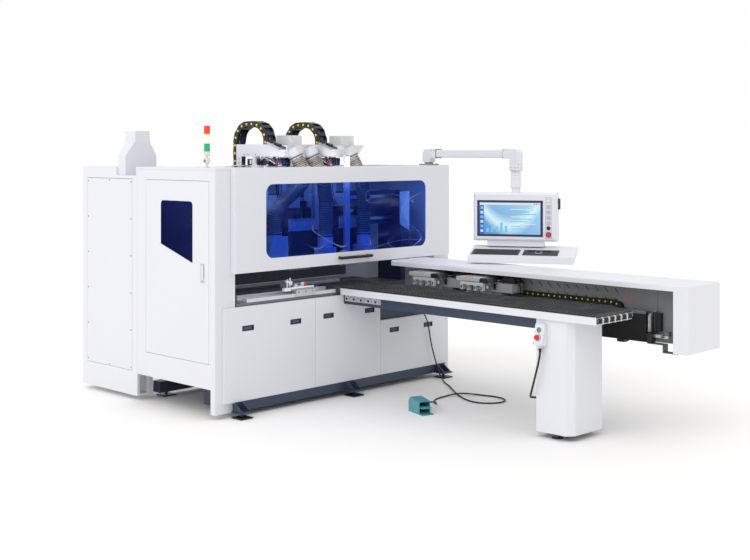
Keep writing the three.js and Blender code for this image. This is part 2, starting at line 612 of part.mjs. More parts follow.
// Drilling heads. A head's X is the left face of its energy chain. The carriage slides on the
// portal, its bracket stands above the roof with the dust hopper, and the unit slides up and down.
const heads = [
  { name: 'left', x: 735, necks: [287, 477], ductLeft: 256, sideHood: true, hoodX: 568 },
  { name: 'right', x: 1345, necks: [354], ductLeft: 294, sideHood: false, hoodX: 435 },
];
const carriage = {
  left: 20, right: 520, plate: 38, bottom: 1500, top: 1790, wall: 8, clear: 1, columnWidth: 60,
  hopperColumn: 330, bracketFront: -14, bracketBack: 628, bracketBottom: 2137, bracketTop: 2244,
  noseZ: 2168, noseEnd: 26, noseY: 200, legFront: 560, legBottom: 2050, footBack: 700,
};
const arch = {
  width: 104, near: 241, far: 658, radius: 160, top: cabinetTop + archRise, end: 2060, nearGap: 1.5,
  straight: 38,
};
const riser = {
  left: 60, width: 50, armLeft: 2, armFront: 212, armHeight: 35,
  armTop: arch.top - arch.radius - arch.straight,
};
const hopper = {
  left: 112, right: 559, slantRight: 468, front: 200, back: 420, bottom: 2130, top: 2236,
  ductWidth: 160, ductFront: 230, ductTop: 2324, wall: 5,
  neckRadius: 72, neckEnd: 66, bore: 54, neckY: 214, neckZ: 2212, mouthX: 30, mouthY: 181,
  mouthZ: 2122,
};
const unit = {
  slideLeft: 60, slideRight: 480, slide: 40, slideBottom: 1300, slideTop: 1760,
  left: 200, right: 540, front: 160, bottom: 1280, top: 1480, motor: 46, motorTop: 1680,
  motorX: [262, 372, 482],
  spindleRows: [205, 285], spindles: 8, spindlePitch: 32, spindle: 9, tip: 4, tipLength: 40,
  spindleBottom: 1130,
};
const hood = {
  left: -60, right: 204, front: 168, back: 322, bottom: 1200, top: 1440, wall: 5, collar: 66,
  collarHeight: 34,
  collarX: 96, collarY: 232, width: 132, frontFront: 12, frontY: 82, frontBottom: 1190, frontTop: 1330,
  frontCollarTop: 1440,
};
const hose = { crest: 64, valley: 56, bore: 50, ribPitch: 16, cuff: 126 };
const carriageFront = portal.front - portal.railProud - fit - carriage.plate;

function hoseCurve(fromX, toX, toY, toZ) {
  const lean = new THREE.Vector3(hopper.mouthX, hopper.mouthY - hopper.neckY,
    hopper.mouthZ - hopper.neckZ).normalize();
  const start = new THREE.Vector3(fromX + hopper.mouthX, hopper.mouthY, hopper.mouthZ)
    .addScaledVector(lean, fit);
  const end = new THREE.Vector3(toX, toY, toZ + fit);
  const down = new THREE.Vector3(0, 0, -hose.cuff);
  const top = start.clone().addScaledVector(lean, hose.cuff);
  const low = end.clone().sub(down);
  const pull = top.distanceTo(low) / 3;
  const bend = new THREE.CubicBezierCurve3(top, top.clone().addScaledVector(lean, pull),
    low.clone().addScaledVector(down.clone().normalize(), -pull), low);
  const straight = (from, to) => [0, 1, 2, 3].map((i) => from.clone().lerp(to, i / 4));
  return new THREE.CatmullRomCurve3([
    ...straight(start, top), ...bend.getSpacedPoints(16), ...straight(end, low).reverse(),
  ], false, 'centripetal');
}

heads.forEach((head) => {
  const x = (offset) => head.x + offset;
  const bracketSpan = [x(-carriage.wall - carriage.clear), x(-carriage.clear)];
  const bracket = alongX(outline([
    [carriage.bracketFront, carriage.noseZ], [carriage.noseEnd, carriage.bracketBottom],
    [carriage.legFront, carriage.bracketBottom], [carriage.legFront, carriage.legBottom],
    [carriage.bracketBack, carriage.legBottom], [carriage.bracketBack, carriage.bracketTop],
    [carriage.noseY, carriage.bracketTop], [carriage.bracketFront, carriage.noseZ + carriage.wall],
  ]), bracketSpan);
  const plateY = [carriageFront, carriageFront + carriage.plate];
  place(`head_carriage_${head.name}`, join(
    block([x(carriage.left), x(carriage.right)], plateY, [carriage.bottom, carriage.top]),
    block([bracketSpan[0], x(carriage.columnWidth - carriage.wall)], plateY,
      [carriage.top - carriage.columnWidth,
      carriage.bracketBottom + carriage.columnWidth]),
    block(around(x(carriage.hopperColumn), carriage.columnWidth), plateY, [carriage.top - fit,
      hopper.bottom - fit]),
    bracket,
    block([bracketSpan[0], x(arch.width)], [carriage.legFront, carriage.footBack], [carriage.legBottom,
      arch.end - fit]),
  ), white);

  const turn = Math.PI / 2;
  const archPath = new THREE.CurvePath();
  const centreZ = arch.top - arch.radius;
  [
    new THREE.LineCurve(new THREE.Vector2(arch.near, riser.armTop + arch.nearGap),
      new THREE.Vector2(arch.near, centreZ)),
    new THREE.EllipseCurve(arch.near + arch.radius, centreZ, arch.radius, arch.radius, 2 * turn, turn, true),
    new THREE.LineCurve(new THREE.Vector2(arch.near + arch.radius, arch.top),
      new THREE.Vector2(arch.far - arch.radius, arch.top)),
    new THREE.EllipseCurve(arch.far - arch.radius, centreZ, arch.radius, arch.radius, turn, 0, true),
    new THREE.LineCurve(new THREE.Vector2(arch.far, centreZ), new THREE.Vector2(arch.far, arch.end)),
  ].forEach((part) => archPath.add(part));
  place(`energy_chain_${head.name}`, chain([x(0), x(arch.width)], archPath, archLink), black);

  const ductLeft = x(head.ductLeft);
  const neck = (offset) => [[x(offset), hopper.neckY, hopper.neckZ],
    [x(offset + hopper.mouthX), hopper.mouthY, hopper.mouthZ]];
  const hopperBody = alongY(outline([
    [x(hopper.left), hopper.bottom], [x(hopper.slantRight), hopper.bottom], [x(hopper.right), hopper.top],
    [x(hopper.left), hopper.top],
  ]), [hopper.front, hopper.back]);
  const ductBody = block([ductLeft, ductLeft + hopper.ductWidth], [hopper.ductFront, hopper.ductFront
    + hopper.ductWidth], [hopper.top - fit, hopper.ductTop]);
  const shaft = block([ductLeft + hopper.wall, ductLeft + hopper.ductWidth - hopper.wall],
    [hopper.ductFront + hopper.wall, hopper.ductFront + hopper.ductWidth - hopper.wall],
    [hopper.bottom + hopper.wall, hopper.ductTop + overrun]);
  const bores = head.necks.map((offset) => {
    const [from, to] = neck(offset).map((p) => new THREE.Vector3(...p));
    const beyond = to.clone().sub(from).normalize().multiplyScalar(overrun).add(to);
    return rod(from.toArray(), beyond.toArray(), hopper.bore, hopper.bore, 12);
  });
  place(`dust_hopper_${head.name}`, cut(
    join(hopperBody, ductBody, head.necks.map((offset) => rod(...neck(offset), hopper.neckRadius,
      hopper.neckEnd))),
    shaft, bores,
  ), white);

  const slideY = [carriageFront - fit - unit.slide, carriageFront - fit];
  const spindles = unit.spindleRows.flatMap((y) => Array.from({ length: unit.spindles }, (_, i) => {
    const sx = x((unit.left + unit.right) / 2) + (i - (unit.spindles - 1) / 2) * unit.spindlePitch;
    return [
      rod([sx, y, unit.bottom + fit], [sx, y, unit.spindleBottom + unit.tipLength], unit.spindle,
        unit.spindle, 6),
      rod([sx, y, unit.spindleBottom + unit.tipLength + fit], [sx, y, unit.spindleBottom], unit.tip,
        unit.tip, 6),
    ];
  })).flat();
  const motors = unit.motorX.map((mx) => rod([x(mx), (unit.front + slideY[0]) / 2, unit.top - fit],
    [x(mx), (unit.front + slideY[0]) / 2, unit.motorTop], unit.motor, unit.motor, 12));
  const frontHood = join(
    cut(
      block(around(x(head.hoodX), hood.width), [hood.frontFront, unit.front + fit], [hood.frontBottom,
        hood.frontTop]),
      block(around(x(head.hoodX), hood.width - 2 * hood.wall), [hood.frontFront + hood.wall,
        unit.front - hood.wall], [hood.frontBottom - overrun, hood.frontTop - hood.wall]),
    ),
    rod([x(head.hoodX), hood.frontY, hood.frontTop - fit], [x(head.hoodX), hood.frontY, hood.frontCollarTop],
      hood.collar),
    block([x(unit.right) - unit.slide, x(head.hoodX) + hood.width / 2], [unit.front - hood.wall, unit.front
      + unit.slide], [unit.bottom, hood.frontTop]),
  );
  const sideHood = !head.sideHood ? [] : [
    cut(
      loft(level([x(hood.left), x(hood.right)], [hood.front, hood.back], hood.bottom, 0),
        level([x(hood.collarX - hood.collar), x(hood.right)], [hood.front, hood.back], hood.top, 0)),
      loft(level([x(hood.left), x(hood.right)], [hood.front, hood.back], hood.bottom - fit, hood.wall),
        level([x(hood.collarX - hood.collar), x(hood.right)], [hood.front, hood.back], hood.top - hood.wall,
          hood.wall)),
    ),
    rod([x(hood.collarX), hood.collarY, hood.top - fit], [x(hood.collarX), hood.collarY, hood.top
      + hood.collarHeight], hood.collar),
  ];
  place(`head_unit_${head.name}`, join(
    block([x(unit.slideLeft), x(unit.slideRight)], slideY, [unit.slideBottom, unit.slideTop]),
    block([x(unit.left), x(unit.right)], [unit.front, slideY[0] + fit], [unit.bottom, unit.top]),
    motors, spindles, frontHood, sideHood,
    block([x(riser.left), x(riser.left + riser.width)], slideY, [unit.slideTop - fit, riser.armTop]),
    block([x(riser.armLeft), x(arch.width - riser.armLeft)], [riser.armFront, slideY[1]], [riser.armTop
      - riser.armHeight, riser.armTop]),
  ), steel);

  head.necks.forEach((offset, i) => {
    const side = head.sideHood && i === 0;
    const curve = side
      ? hoseCurve(x(offset), x(hood.collarX), hood.collarY, hood.top + hood.collarHeight)
      : hoseCurve(x(offset), x(head.hoodX), hood.frontY, hood.frontCollarTop);
    place(`dust_hose_${head.name}${side ? '_outer' : ''}`, ribbedHose(curve, hose), hoseGrey);
  });
});

// Feed table: a white channel tray with six bays, and the brush bed that lies in it.
const table = {
  left: 1376, right: 1868, front: -30, edge: 8, floor: 8, lipTop: 975, bays: 6, rib: 6, ribTop: 960,
  brushInside: 250, trayEnd: 8, endRadius: 26, blockInset: 14, blockLength: 68, blockBottom: 920,
};
const tableEnd = -tableReach;
const trayEnd = tableEnd + table.trayEnd;
const bayPitch = (table.right - table.left - table.rib) / table.bays;
const ribOutline = (top, end) => outline([
  [end, tableBottom], [table.front, tableBottom], [table.front, top], [end, top],
], [0, 0, 0, table.endRadius]);
place('table_tray', join(
  block([table.left, table.right], [trayEnd, table.front], [tableBottom, tableBottom + table.floor]),
  alongX(ribOutline(table.lipTop, tableEnd), [table.left, table.left + table.edge]),
  Array.from({ length: table.bays }, (_, i) => {
    const ribX = table.left + (i + 1) * bayPitch;
    return alongX(ribOutline(table.ribTop, trayEnd), [ribX, ribX + table.rib]);
  }),
), white);
const blocks = Array.from({ length: table.bays }, (_, i) => {
  const bayX = table.left + i * bayPitch;
  return block([bayX + table.blockInset, bayX + bayPitch - table.blockInset / 2],
    [trayEnd + fit, trayEnd + table.blockLength], [table.blockBottom, table.ribTop + 2 * fit]);
});
place('brush_bed', join(
  block([table.left + table.edge + fit, table.right], [trayEnd, table.front + overrun], [table.ribTop + fit,
    workHeight]),
  block([table.left, table.right], [table.front + fit, table.brushInside], [deckTop + fit, workHeight]),
  blocks,
), brush);

// Table leg: a folded sheet box with one wide chamfer, on two round levelling feet.
const leg = {
  left: 1400, right: 1813, front: tableInset.legFront - tableReach, chamferX: 60, chamferY: 45, bottom: 44,
  wall: 4,
  footX: [1474, 1740], footY: tableInset.legFoot - tableReach, pad: 45, padHeight: 10, stem: 10, bar: 60,
  barHeight: 12,
};
const legOutline = (inset) => outline([
  [leg.left + inset, legBack - inset], [leg.left + inset, leg.front + leg.chamferY + inset],
  [leg.left + leg.chamferX + inset, leg.front + inset], [leg.right - inset, leg.front + inset],
  [leg.right - inset, legBack - inset],
]);
place('table_leg', cut(alongZ(legOutline(0), [leg.bottom, armTop]),
  alongZ(legOutline(leg.wall), [leg.bottom - overrun, armTop - leg.wall])), white);
place('table_leg_foot', join(
  block([leg.left + leg.wall + fit, leg.right - leg.wall - fit], around(leg.footY, leg.bar), [leg.bottom,
    leg.bottom + leg.barHeight]),
  leg.footX.map((x) => join(
    rod([x, leg.footY, 0], [x, leg.footY, leg.padHeight], leg.pad),
    rod([x, leg.footY, leg.padHeight - fit], [x, leg.footY, leg.bottom + fit], leg.stem, leg.stem, 8),
  )),
), black);

// Push button box on the leg: its face leans back, with a start button above a mushroom stop.
const buttons = {
  y: tableInset.buttons - tableReach, width: 86, topX: 1366, topZ: 875, lowX: 1328, lowZ: 715, backTop: 868,
  backBottom: 700, radius: 6,
  startShare: 0.3, stopShare: 0.66, stem: 9, hole: 9.5, holeDepth: 18, stemDepth: 11,
  startHead: 14, startProud: 9, stopHead: 21, stopProud: 22, stopCap: 9, lift: 6,
  glandX: 1366, gland: 9, glandBottom: 685,
};
const boxRear = leg.left - fit;
const faceTop = new THREE.Vector3(buttons.topX, buttons.y, buttons.topZ);
const faceLow = new THREE.Vector3(buttons.lowX, buttons.y, buttons.lowZ);
const faceDown = faceLow.clone().sub(faceTop);
const faceOut = new THREE.Vector3(faceDown.z, 0, -faceDown.x).normalize();
const onFace = (share, out) => faceTop.clone().addScaledVector(faceDown, share).addScaledVector(faceOut,
  out).toArray();
place('button_box', cut(
  join(
    alongY(outline([
      [buttons.lowX, buttons.lowZ], [boxRear, buttons.backBottom], [boxRear, buttons.backTop],
      [buttons.topX, buttons.topZ],
    ], [buttons.radius, 0, 0, buttons.radius]), around(buttons.y, buttons.width)),
    rod([buttons.glandX, buttons.y, buttons.lowZ + overrun], [buttons.glandX, buttons.y, buttons.glandBottom],
      buttons.gland, buttons.gland, 8),
  ),
  [buttons.startShare, buttons.stopShare].map((share) => rod(onFace(share, overrun), onFace(share,
    -buttons.holeDepth), buttons.hole)),
), white);
place('start_button', join(
  rod(onFace(buttons.startShare, buttons.lift), onFace(buttons.startShare, -buttons.stemDepth), buttons.stem),
  rod(onFace(buttons.startShare, buttons.lift - fit),
    onFace(buttons.startShare, buttons.lift + buttons.startProud),
    buttons.startHead),
), green);
place('stop_button', join(
  rod(onFace(buttons.stopShare, buttons.lift + buttons.stopCap),
    onFace(buttons.stopShare, -buttons.stemDepth),
    buttons.stem),
  rod(onFace(buttons.stopShare, buttons.lift), onFace(buttons.stopShare, buttons.lift + buttons.stopCap),
    buttons.stem + seam, buttons.stopHead),
  rod(onFace(buttons.stopShare, buttons.lift + buttons.stopCap - fit), onFace(buttons.stopShare,
    buttons.lift + buttons.stopProud), buttons.stopHead, buttons.stopHead - seam),
), red);

// Cords are tubes along points chosen by hand.
function cord(points, radius, steps) {
  const path = new THREE.CatmullRomCurve3(points.map((p) => new THREE.Vector3(...p)), false, 'centripetal');
  const section = new THREE.Shape();
  section.absarc(0, 0, radius, 0, 2 * Math.PI, false);
  const geometry = new THREE.ExtrudeGeometry(section,
    { steps, extrudePath: path, curveSegments: cordSides / 2 });
  return solidOf(geometry);
}
const cableHang = [
  [0, 0, buttons.glandBottom - fit], [0, 0, 655], [-4, 2, 620], [-13, 10, 560], [-19, 26, 490],
  [-19, 46, 420],
  [-12, 68, 362], [3, 90, 322], [24, 107, 300], [46, 114, 292], [64, 105, 290], [70, 87, 290],
];
const cableHole = { x: 71, z: 290 };
place('button_cable', cord([
  ...cableHang.map(([x, reach, z]) => [buttons.glandX + x, buttons.y + reach, z]),
  [buttons.glandX + cableHole.x, legBack + fit, cableHole.z],
], 5.5, 20), black);

// Clamp beam: a black box beam with two rails that run on over the deck, and the chain tray.
const clampRail = { x: [2070, 2110], width: 20, height: 20, front: beamInset.rail - beamReach, back: 690,
  bedGap: 0.5 };
const tray = {
  front: beamInset.tray - beamReach, back: beamInset.trayBack - beamReach, thick: 8,
  tieShares: [0.9174, 0.6972, 0.4771, 0.2569, 0.0734], tieLength: 60, tieHeight: 80,
};
const beamChain = {
  left: 2143, right: 2177, runTop: 980, radius: 62, near: beamInset.chainNear - beamReach,
  bend: beamInset.chainBend - beamReach, lowEnd: beamInset.chainLow - beamReach,
  pitch: 92, height: 40, plate: 8, inset: 2.5, bar: 5, barSides: [-1],
};
const plateX = 2180;
const clampRailTop = deckTop + fit + clampRail.height;
const lowRun = beamChain.runTop - 2 * beamChain.radius;
const trayTop = lowRun - beamChain.height / 2 - fit;
place('clamp_beam', join(
  block([clampBeam.left, clampBeam.right], [clampRail.front, -clampRail.bedGap], [clampBeam.bottom, deckTop
    + fit]),
  clampRail.x.map((x) => block(around(x, clampRail.width), [clampRail.front, clampRail.back], [deckTop + fit,
    clampRailTop])),
  block([clampBeam.right - fit, plateX - seam], [tray.front, tray.back], [trayTop - tray.thick, trayTop]),
  tray.tieShares.map((share) => block([clampBeam.right - fit, plateX - fit], around(share * clampRail.front,
    tray.tieLength), [clampBeam.bottom, clampBeam.bottom + tray.tieHeight])),
), black);
const turn = Math.PI / 2;
const beamPath = new THREE.CurvePath();
[
  new THREE.LineCurve(new THREE.Vector2(beamChain.near, beamChain.runTop),
    new THREE.Vector2(beamChain.bend, beamChain.runTop)),
  new THREE.EllipseCurve(beamChain.bend, beamChain.runTop - beamChain.radius, beamChain.radius,
    beamChain.radius,
    turn, 3 * turn, false),
  new THREE.LineCurve(new THREE.Vector2(beamChain.bend, lowRun), new THREE.Vector2(beamChain.lowEnd, lowRun)),
].forEach((part) => beamPath.add(part));
place('energy_chain_beam', chain([beamChain.left, beamChain.right], beamPath, beamChain), black);

// Beam housing: a folded cover open towards the table, and a slotted plate behind the clamps.
const housing = {
  left: 1996, right: 2471, front: -64, top: 1176, lipBottom: 1128, wallBottom: 680, wall: 12, radius: 18,
  boxFront: beamInset.box - beamReach, boxBottom: 658,
};
const boxEnd = -beamReach;
place('beam_housing', join(
  alongY(outline([
    [housing.left, housing.lipBottom], [housing.left + housing.wall, housing.lipBottom],
    [housing.left + housing.wall, housing.top - housing.wall],
    [housing.right - housing.wall, housing.top - housing.wall],
    [housing.right - housing.wall, housing.wallBottom], [housing.right, housing.wallBottom],
    [housing.right, housing.top], [housing.left, housing.top],
  ], [0, 0, 0, 0, 0, 0, housing.radius, housing.radius]), [boxEnd + housing.radius, housing.front]),
  cut(
    alongX(outline(rectangle([boxEnd, housing.boxFront], [housing.boxBottom, housing.top]),
      [housing.radius, 0, 0, housing.radius]), [housing.left, housing.right]),
    block([housing.left + housing.wall, housing.right - housing.wall], [boxEnd + housing.wall,
      housing.boxFront + overrun], [housing.boxBottom + housing.wall, housing.top - housing.wall]),
    alongY(outline([
      [housing.left - overrun, housing.top - housing.radius], [housing.left - overrun, housing.top + overrun],
      [housing.left + housing.radius, housing.top + overrun],
    ].reverse()), [boxEnd - overrun, housing.boxFront + overrun]),
  ),
), white);
const slots = {
  thick: 8, floor: 8, floorZ: 700, end: beamInset.slots - beamReach, pitch: 94, width: 10, length: 35, lean: 35,
  rows: [{ z: 1068, from: 0, count: 16 }, { z: 996, from: -1, count: 11 }, { z: 927, from: -1, count: 2 }],
};
const slotAt = (y, z) => alongX(outline([
  [y + slots.lean / 2 - slots.width / 2, z + slots.length / 2],
  [y + slots.lean / 2 + slots.width / 2, z + slots.length / 2],
  [y - slots.lean / 2 + slots.width / 2, z - slots.length / 2],
  [y - slots.lean / 2 - slots.width / 2, z - slots.length / 2],
]), [plateX - overrun, plateX + slots.thick + overrun]);
const slotRow = ({ z, from, count }) => Array.from({ length: count }, (_, i) => slotAt(
  slots.end + (i + from) * slots.pitch, z));
place('beam_back_plate', cut(
  join(
    block([plateX, plateX + slots.thick], [housing.boxFront + fit, housing.front - seam], [slots.floorZ,
      housing.top - housing.wall - fit]),
    block([plateX, housing.right - housing.wall - fit], [housing.boxFront + fit, housing.front - seam],
      [slots.floorZ, slots.floorZ + slots.floor]),
  ),
  ...slots.rows.map(slotRow),
), steel);

// Clamps: a carriage on the beam's rails with a fixed lower jaw, and a pressing jaw with fingers.
const clamps = [{ name: 'near', y: -575 }, { name: 'far', y: -1130 }];
const clamp = {
  bodyLeft: 1990, bodyRight: 2140, length: 380, saddleLeft: 2045, saddleHeight: 40, bodyTop: 1085,
  lidInset: 24, lidLength: 340, lidBottom: 1072, lidTop: 1104, lidSlope: 26, tail: 350, tailTop: 1060,
  frontPlate: 10, plateBottom: 950, jawLeft: 1872, jawLength: 250, jawTop: 972,
  pressBottom: 1040, pressTop: 1066, fingers: 4, finger: 26, fingerDepth: 34, fingerBottom: 1000,
  cylinder: 16, cylinderBottom: 1006, cylinders: 2, recess: 40, hollowTop: 1060,
};
clamps.forEach(({ name, y }) => {
  const saddleTop = clampRailTop + clamp.saddleHeight;
  const plateSpan = [clamp.bodyLeft - clamp.frontPlate, clamp.bodyLeft + fit];
  place(`clamp_carriage_${name}`, join(
    cut(
      block([clamp.saddleLeft, clamp.bodyRight], around(y, clamp.length), [clampRailTop + fit, saddleTop]),
      block([clamp.saddleLeft - overrun, clamp.bodyRight + overrun], around(y, clamp.length / 3),
        [clampRailTop, clampRailTop + clamp.saddleHeight / 2]),
    ),
    cut(
      alongY(outline([
        [clamp.bodyLeft, saddleTop - fit], [clamp.bodyRight, saddleTop - fit],
        [clamp.bodyRight, clamp.bodyTop],
        [clamp.bodyLeft, clamp.bodyTop],
      ], [0, 0, clamp.frontPlate, 0]), around(y, clamp.length)),
      block([clamp.bodyLeft + clamp.recess, clamp.bodyRight + overrun], around(y, clamp.length / 2),
        [saddleTop + clamp.frontPlate, clamp.hollowTop]),
    ),
    alongX(outline([
      [y - clamp.lidLength / 2 - clamp.lidSlope, clamp.lidBottom], [y + clamp.lidLength / 2, clamp.lidBottom],
      [y + clamp.lidLength / 2, clamp.lidTop], [y - clamp.lidLength / 2, clamp.lidTop],
    ]), [clamp.jawLeft, clamp.bodyRight - clamp.lidInset]),
    block([clamp.bodyLeft, clamp.bodyRight], [y - clamp.tail, y - clamp.length / 2 + fit],
      [saddleTop, clamp.tailTop]),
    block(plateSpan, around(y, clamp.jawLength), [clamp.plateBottom, clamp.bodyTop]),
    block([clamp.jawLeft, plateSpan[1]], around(y, clamp.jawLength), [clamp.plateBottom, clamp.jawTop]),
  ), darkGrey);
  const pressRight = plateSpan[0] - fit;
  const pitch = (clamp.jawLength - clamp.finger) / (clamp.fingers - 1);
  const fingerY = (i) => y - clamp.jawLength / 2 + clamp.finger / 2 + i * pitch;
  place(`clamp_jaw_${name}`, join(
    block([clamp.jawLeft, pressRight], around(y, clamp.jawLength), [clamp.pressBottom, clamp.pressTop]),
    Array.from({ length: clamp.fingers }, (_, i) => block([clamp.jawLeft, clamp.jawLeft + clamp.fingerDepth],
      around(fingerY(i), clamp.finger), [clamp.fingerBottom, clamp.pressBottom + fit])),
    Array.from({ length: clamp.cylinders }, (_, i) => rod(
      [clamp.jawLeft + clamp.fingerDepth + clamp.cylinder, y + (i - 0.5) * clamp.jawLength / 2,
        clamp.pressBottom + fit],
      [clamp.jawLeft + clamp.fingerDepth + clamp.cylinder, y + (i - 0.5) * clamp.jawLength / 2,
        clamp.cylinderBottom],
      clamp.cylinder, clamp.cylinder, 10,
    )),
  ), steel);
});

// Console arm: a swivel base on the roof, a box tube with two cast elbows, and a drop tube.
const swivel = { x: cabinetWidth - rightInset.swivel, y: 100, flange: 100, flangeHeight: 12, post: 44,
  postTop: cabinetTop + aboveRoof.post };
const tubeArm = {
  width: 76, bottom: cabinetTop + aboveRoof.arm, top: cabinetTop + aboveRoof.armEnd, radius: 12, sleeve: 6,
  elbowLength: 124, bend: 50, drop: 72, sleeveDrop: 116, dropLength: 161,
};
tubeArm.dropBottom = tubeArm.bottom - tubeArm.sleeveDrop;
tubeArm.dropEnd = tubeArm.bottom - tubeArm.dropLength;
place('arm_base', join(
  rod([swivel.x, swivel.y, cabinetTop + fit], [swivel.x, swivel.y, cabinetTop + swivel.flangeHeight],
    swivel.flange),
  rod([swivel.x, swivel.y, cabinetTop + fit], [swivel.x, swivel.y, swivel.postTop], swivel.post),
), black);
const armEnd = swivel.y - consoleArmReach;
const sleeved = tubeArm.width / 2 + tubeArm.sleeve;
const elbowSpan = [swivel.x - sleeved, swivel.x + sleeved];
const sleeveZ = [tubeArm.bottom - tubeArm.sleeve, tubeArm.top + tubeArm.sleeve];
place('console_arm', join(
  alongY(outline(rectangle(around(swivel.x, tubeArm.width), [tubeArm.bottom, tubeArm.top]), tubeArm.radius),
    [armEnd, swivel.y]),
  alongX(outline([
    [swivel.y - sleeved, swivel.postTop + fit], [swivel.y + sleeved, swivel.postTop + fit],
    [swivel.y + sleeved, sleeveZ[1]], [swivel.y - tubeArm.elbowLength, sleeveZ[1]],
    [swivel.y - tubeArm.elbowLength, sleeveZ[0]], [swivel.y - sleeved, sleeveZ[0]],
  ], [0, 0, tubeArm.bend, 0, 0, 0]), elbowSpan),
  alongX(outline([
    [armEnd + sleeved, tubeArm.dropBottom], [armEnd + sleeved, sleeveZ[0]],
    [armEnd + tubeArm.elbowLength, sleeveZ[0]], [armEnd + tubeArm.elbowLength, sleeveZ[1]],
    [armEnd - sleeved, sleeveZ[1]], [armEnd - sleeved, tubeArm.dropBottom],
  ], [0, 0, 0, 0, tubeArm.bend, 0]), elbowSpan),
  alongZ(outline(rectangle(around(swivel.x, tubeArm.drop), around(armEnd, tubeArm.drop)), tubeArm.radius),
    [tubeArm.dropEnd, tubeArm.dropBottom + fit]),
), white);

// Console: housing with the screen and the button column, on a coupling, with a sloped key tray.
// It is drawn facing -Y about the drop tube and turned as a whole.
const consoleTurn = -Math.PI / 3;
const box = {
  half: 383, depth: 150, bottom: 1366, top: 1807, radius: 14, coupling: 45, couplingBottom: 1850, neck: 38,
  hang: 1960, bezelLeft: -346, bezelRight: 252, bezelBottom: 1408, bezelTop: 1736, bezelDepth: 12,
  columnX: 303, buttonZ: [1734, 1682, 1632, 1583, 1534], button: 26, buttonProud: 5,
  switchZ: 1489, switchRadius: 16, switchProud: 12, stopZ: 1431,
  portFront: -20, portBack: 50, portBottom: 1656, portTop: 1754, portProud: 16,
};
const keys = {
  left: -388, right: 552, front: -345, back: 20, backTop: 1318, backBottom: 1250, frontTop: 1253,
  frontBottom: 1190, neckHalf: 258, neckFront: -50, neckBack: 40,
  boardLeft: -367, boardRight: 60, padLeft: 93, padRight: 407, keyFrontShare: 0.11, keyBackShare: 0.6,
  keyProud: 7, ballX: 230, ballShare: 0.34, ball: 26,
};
groups.console = new THREE.Group();
groups.console.position.set(swivel.x, armEnd, tubeArm.dropEnd - box.hang);
groups.console.rotation.z = consoleTurn;
machine.add(groups.console);
const boxFront = -box.depth / 2;
const trayHeight = (share) => keys.frontTop + share * (keys.backTop - keys.frontTop);
const trayY = (share) => keys.front + share * (keys.back - keys.front);
const keyPlinth = ([x0, x1]) => alongX(outline([
  [trayY(keys.keyFrontShare), trayHeight(keys.keyFrontShare) - keys.keyProud],
  [trayY(keys.keyBackShare), trayHeight(keys.keyBackShare) - keys.keyProud],
  [trayY(keys.keyBackShare), trayHeight(keys.keyBackShare) + keys.keyProud],
  [trayY(keys.keyFrontShare), trayHeight(keys.keyFrontShare) + keys.keyProud],
]), [x0, x1]);
const eStop = { head: 22, headThick: 15, stem: 10, hole: 10.5, holeDepth: 26, stemDepth: 14, lift: 10,
  taper: 4 };
place('console_housing', cut(
  join(
    alongZ(outline(rectangle([-box.half, box.half], [boxFront, -boxFront]), box.radius),
      [box.bottom, box.top]),
    alongZ(outline(rectangle(around(0, 2 * box.coupling), around(0, 2 * box.coupling)), tubeArm.radius),
      [box.couplingBottom, box.hang - fit]),
    alongZ(outline(rectangle(around(0, 2 * box.neck), around(0, 2 * box.neck)), tubeArm.radius),
      [box.top - fit, box.couplingBottom + fit]),
    box.buttonZ.map((z) => block(around(box.columnX, box.button),
      [boxFront - box.buttonProud, boxFront + fit],
      around(z, box.button))),
    rod([box.columnX, boxFront + fit, box.switchZ], [box.columnX, boxFront - box.switchProud, box.switchZ],
      box.switchRadius),
    block([box.half - fit, box.half + box.portProud], [box.portFront, box.portBack],
      [box.portBottom, box.portTop]),
    block([-keys.neckHalf, keys.neckHalf], [keys.neckFront, keys.neckBack],
      [keys.backTop - seam, box.bottom + fit]),
  ),
  block([box.bezelLeft, box.bezelRight], [boxFront - overrun, boxFront + box.bezelDepth], [box.bezelBottom,
    box.bezelTop]),
  rod([box.columnX, boxFront - overrun, box.stopZ], [box.columnX, boxFront + eStop.holeDepth, box.stopZ],
    eStop.hole),
), white, groups.console);
place('console_screen', block([box.bezelLeft + fit, box.bezelRight - fit],
  [boxFront + fit, boxFront + box.bezelDepth - fit], [box.bezelBottom + fit, box.bezelTop - fit]),
black, groups.console);
place('key_tray', cut(
  join(
    alongX(outline([
      [keys.front, keys.frontBottom], [keys.back, keys.backBottom],
      [keys.neckBack + keys.neckBack, keys.backBottom],
      [keys.neckBack + keys.neckBack, keys.backTop - seam - fit], [keys.back, keys.backTop - seam - fit],
      [keys.front, keys.frontTop],
    ]), [keys.left, keys.right]),
    keyPlinth([keys.boardLeft, keys.boardRight]),
    keyPlinth([keys.padLeft, keys.padRight]),
    rod([keys.ballX, trayY(keys.ballShare), trayHeight(keys.ballShare)], [keys.ballX, trayY(keys.ballShare),
      trayHeight(keys.ballShare) + keys.ball / 2 + keys.keyProud], keys.ball, keys.ball / 2),
  ),
  block([keys.left - overrun, keys.right + overrun], [keys.neckFront - seam, 3 * keys.neckBack],
    [keys.backTop - seam - fit, box.bottom]),
), white, groups.console);
place('emergency_stop', join(
  rod([box.columnX, boxFront - eStop.lift, box.stopZ], [box.columnX, boxFront + eStop.stemDepth, box.stopZ],
    eStop.stem),
  rod([box.columnX, boxFront - eStop.lift + fit, box.stopZ],
    [box.columnX, boxFront - eStop.lift - eStop.headThick,
    box.stopZ], eStop.head, eStop.head - eStop.taper),
), red, groups.console);

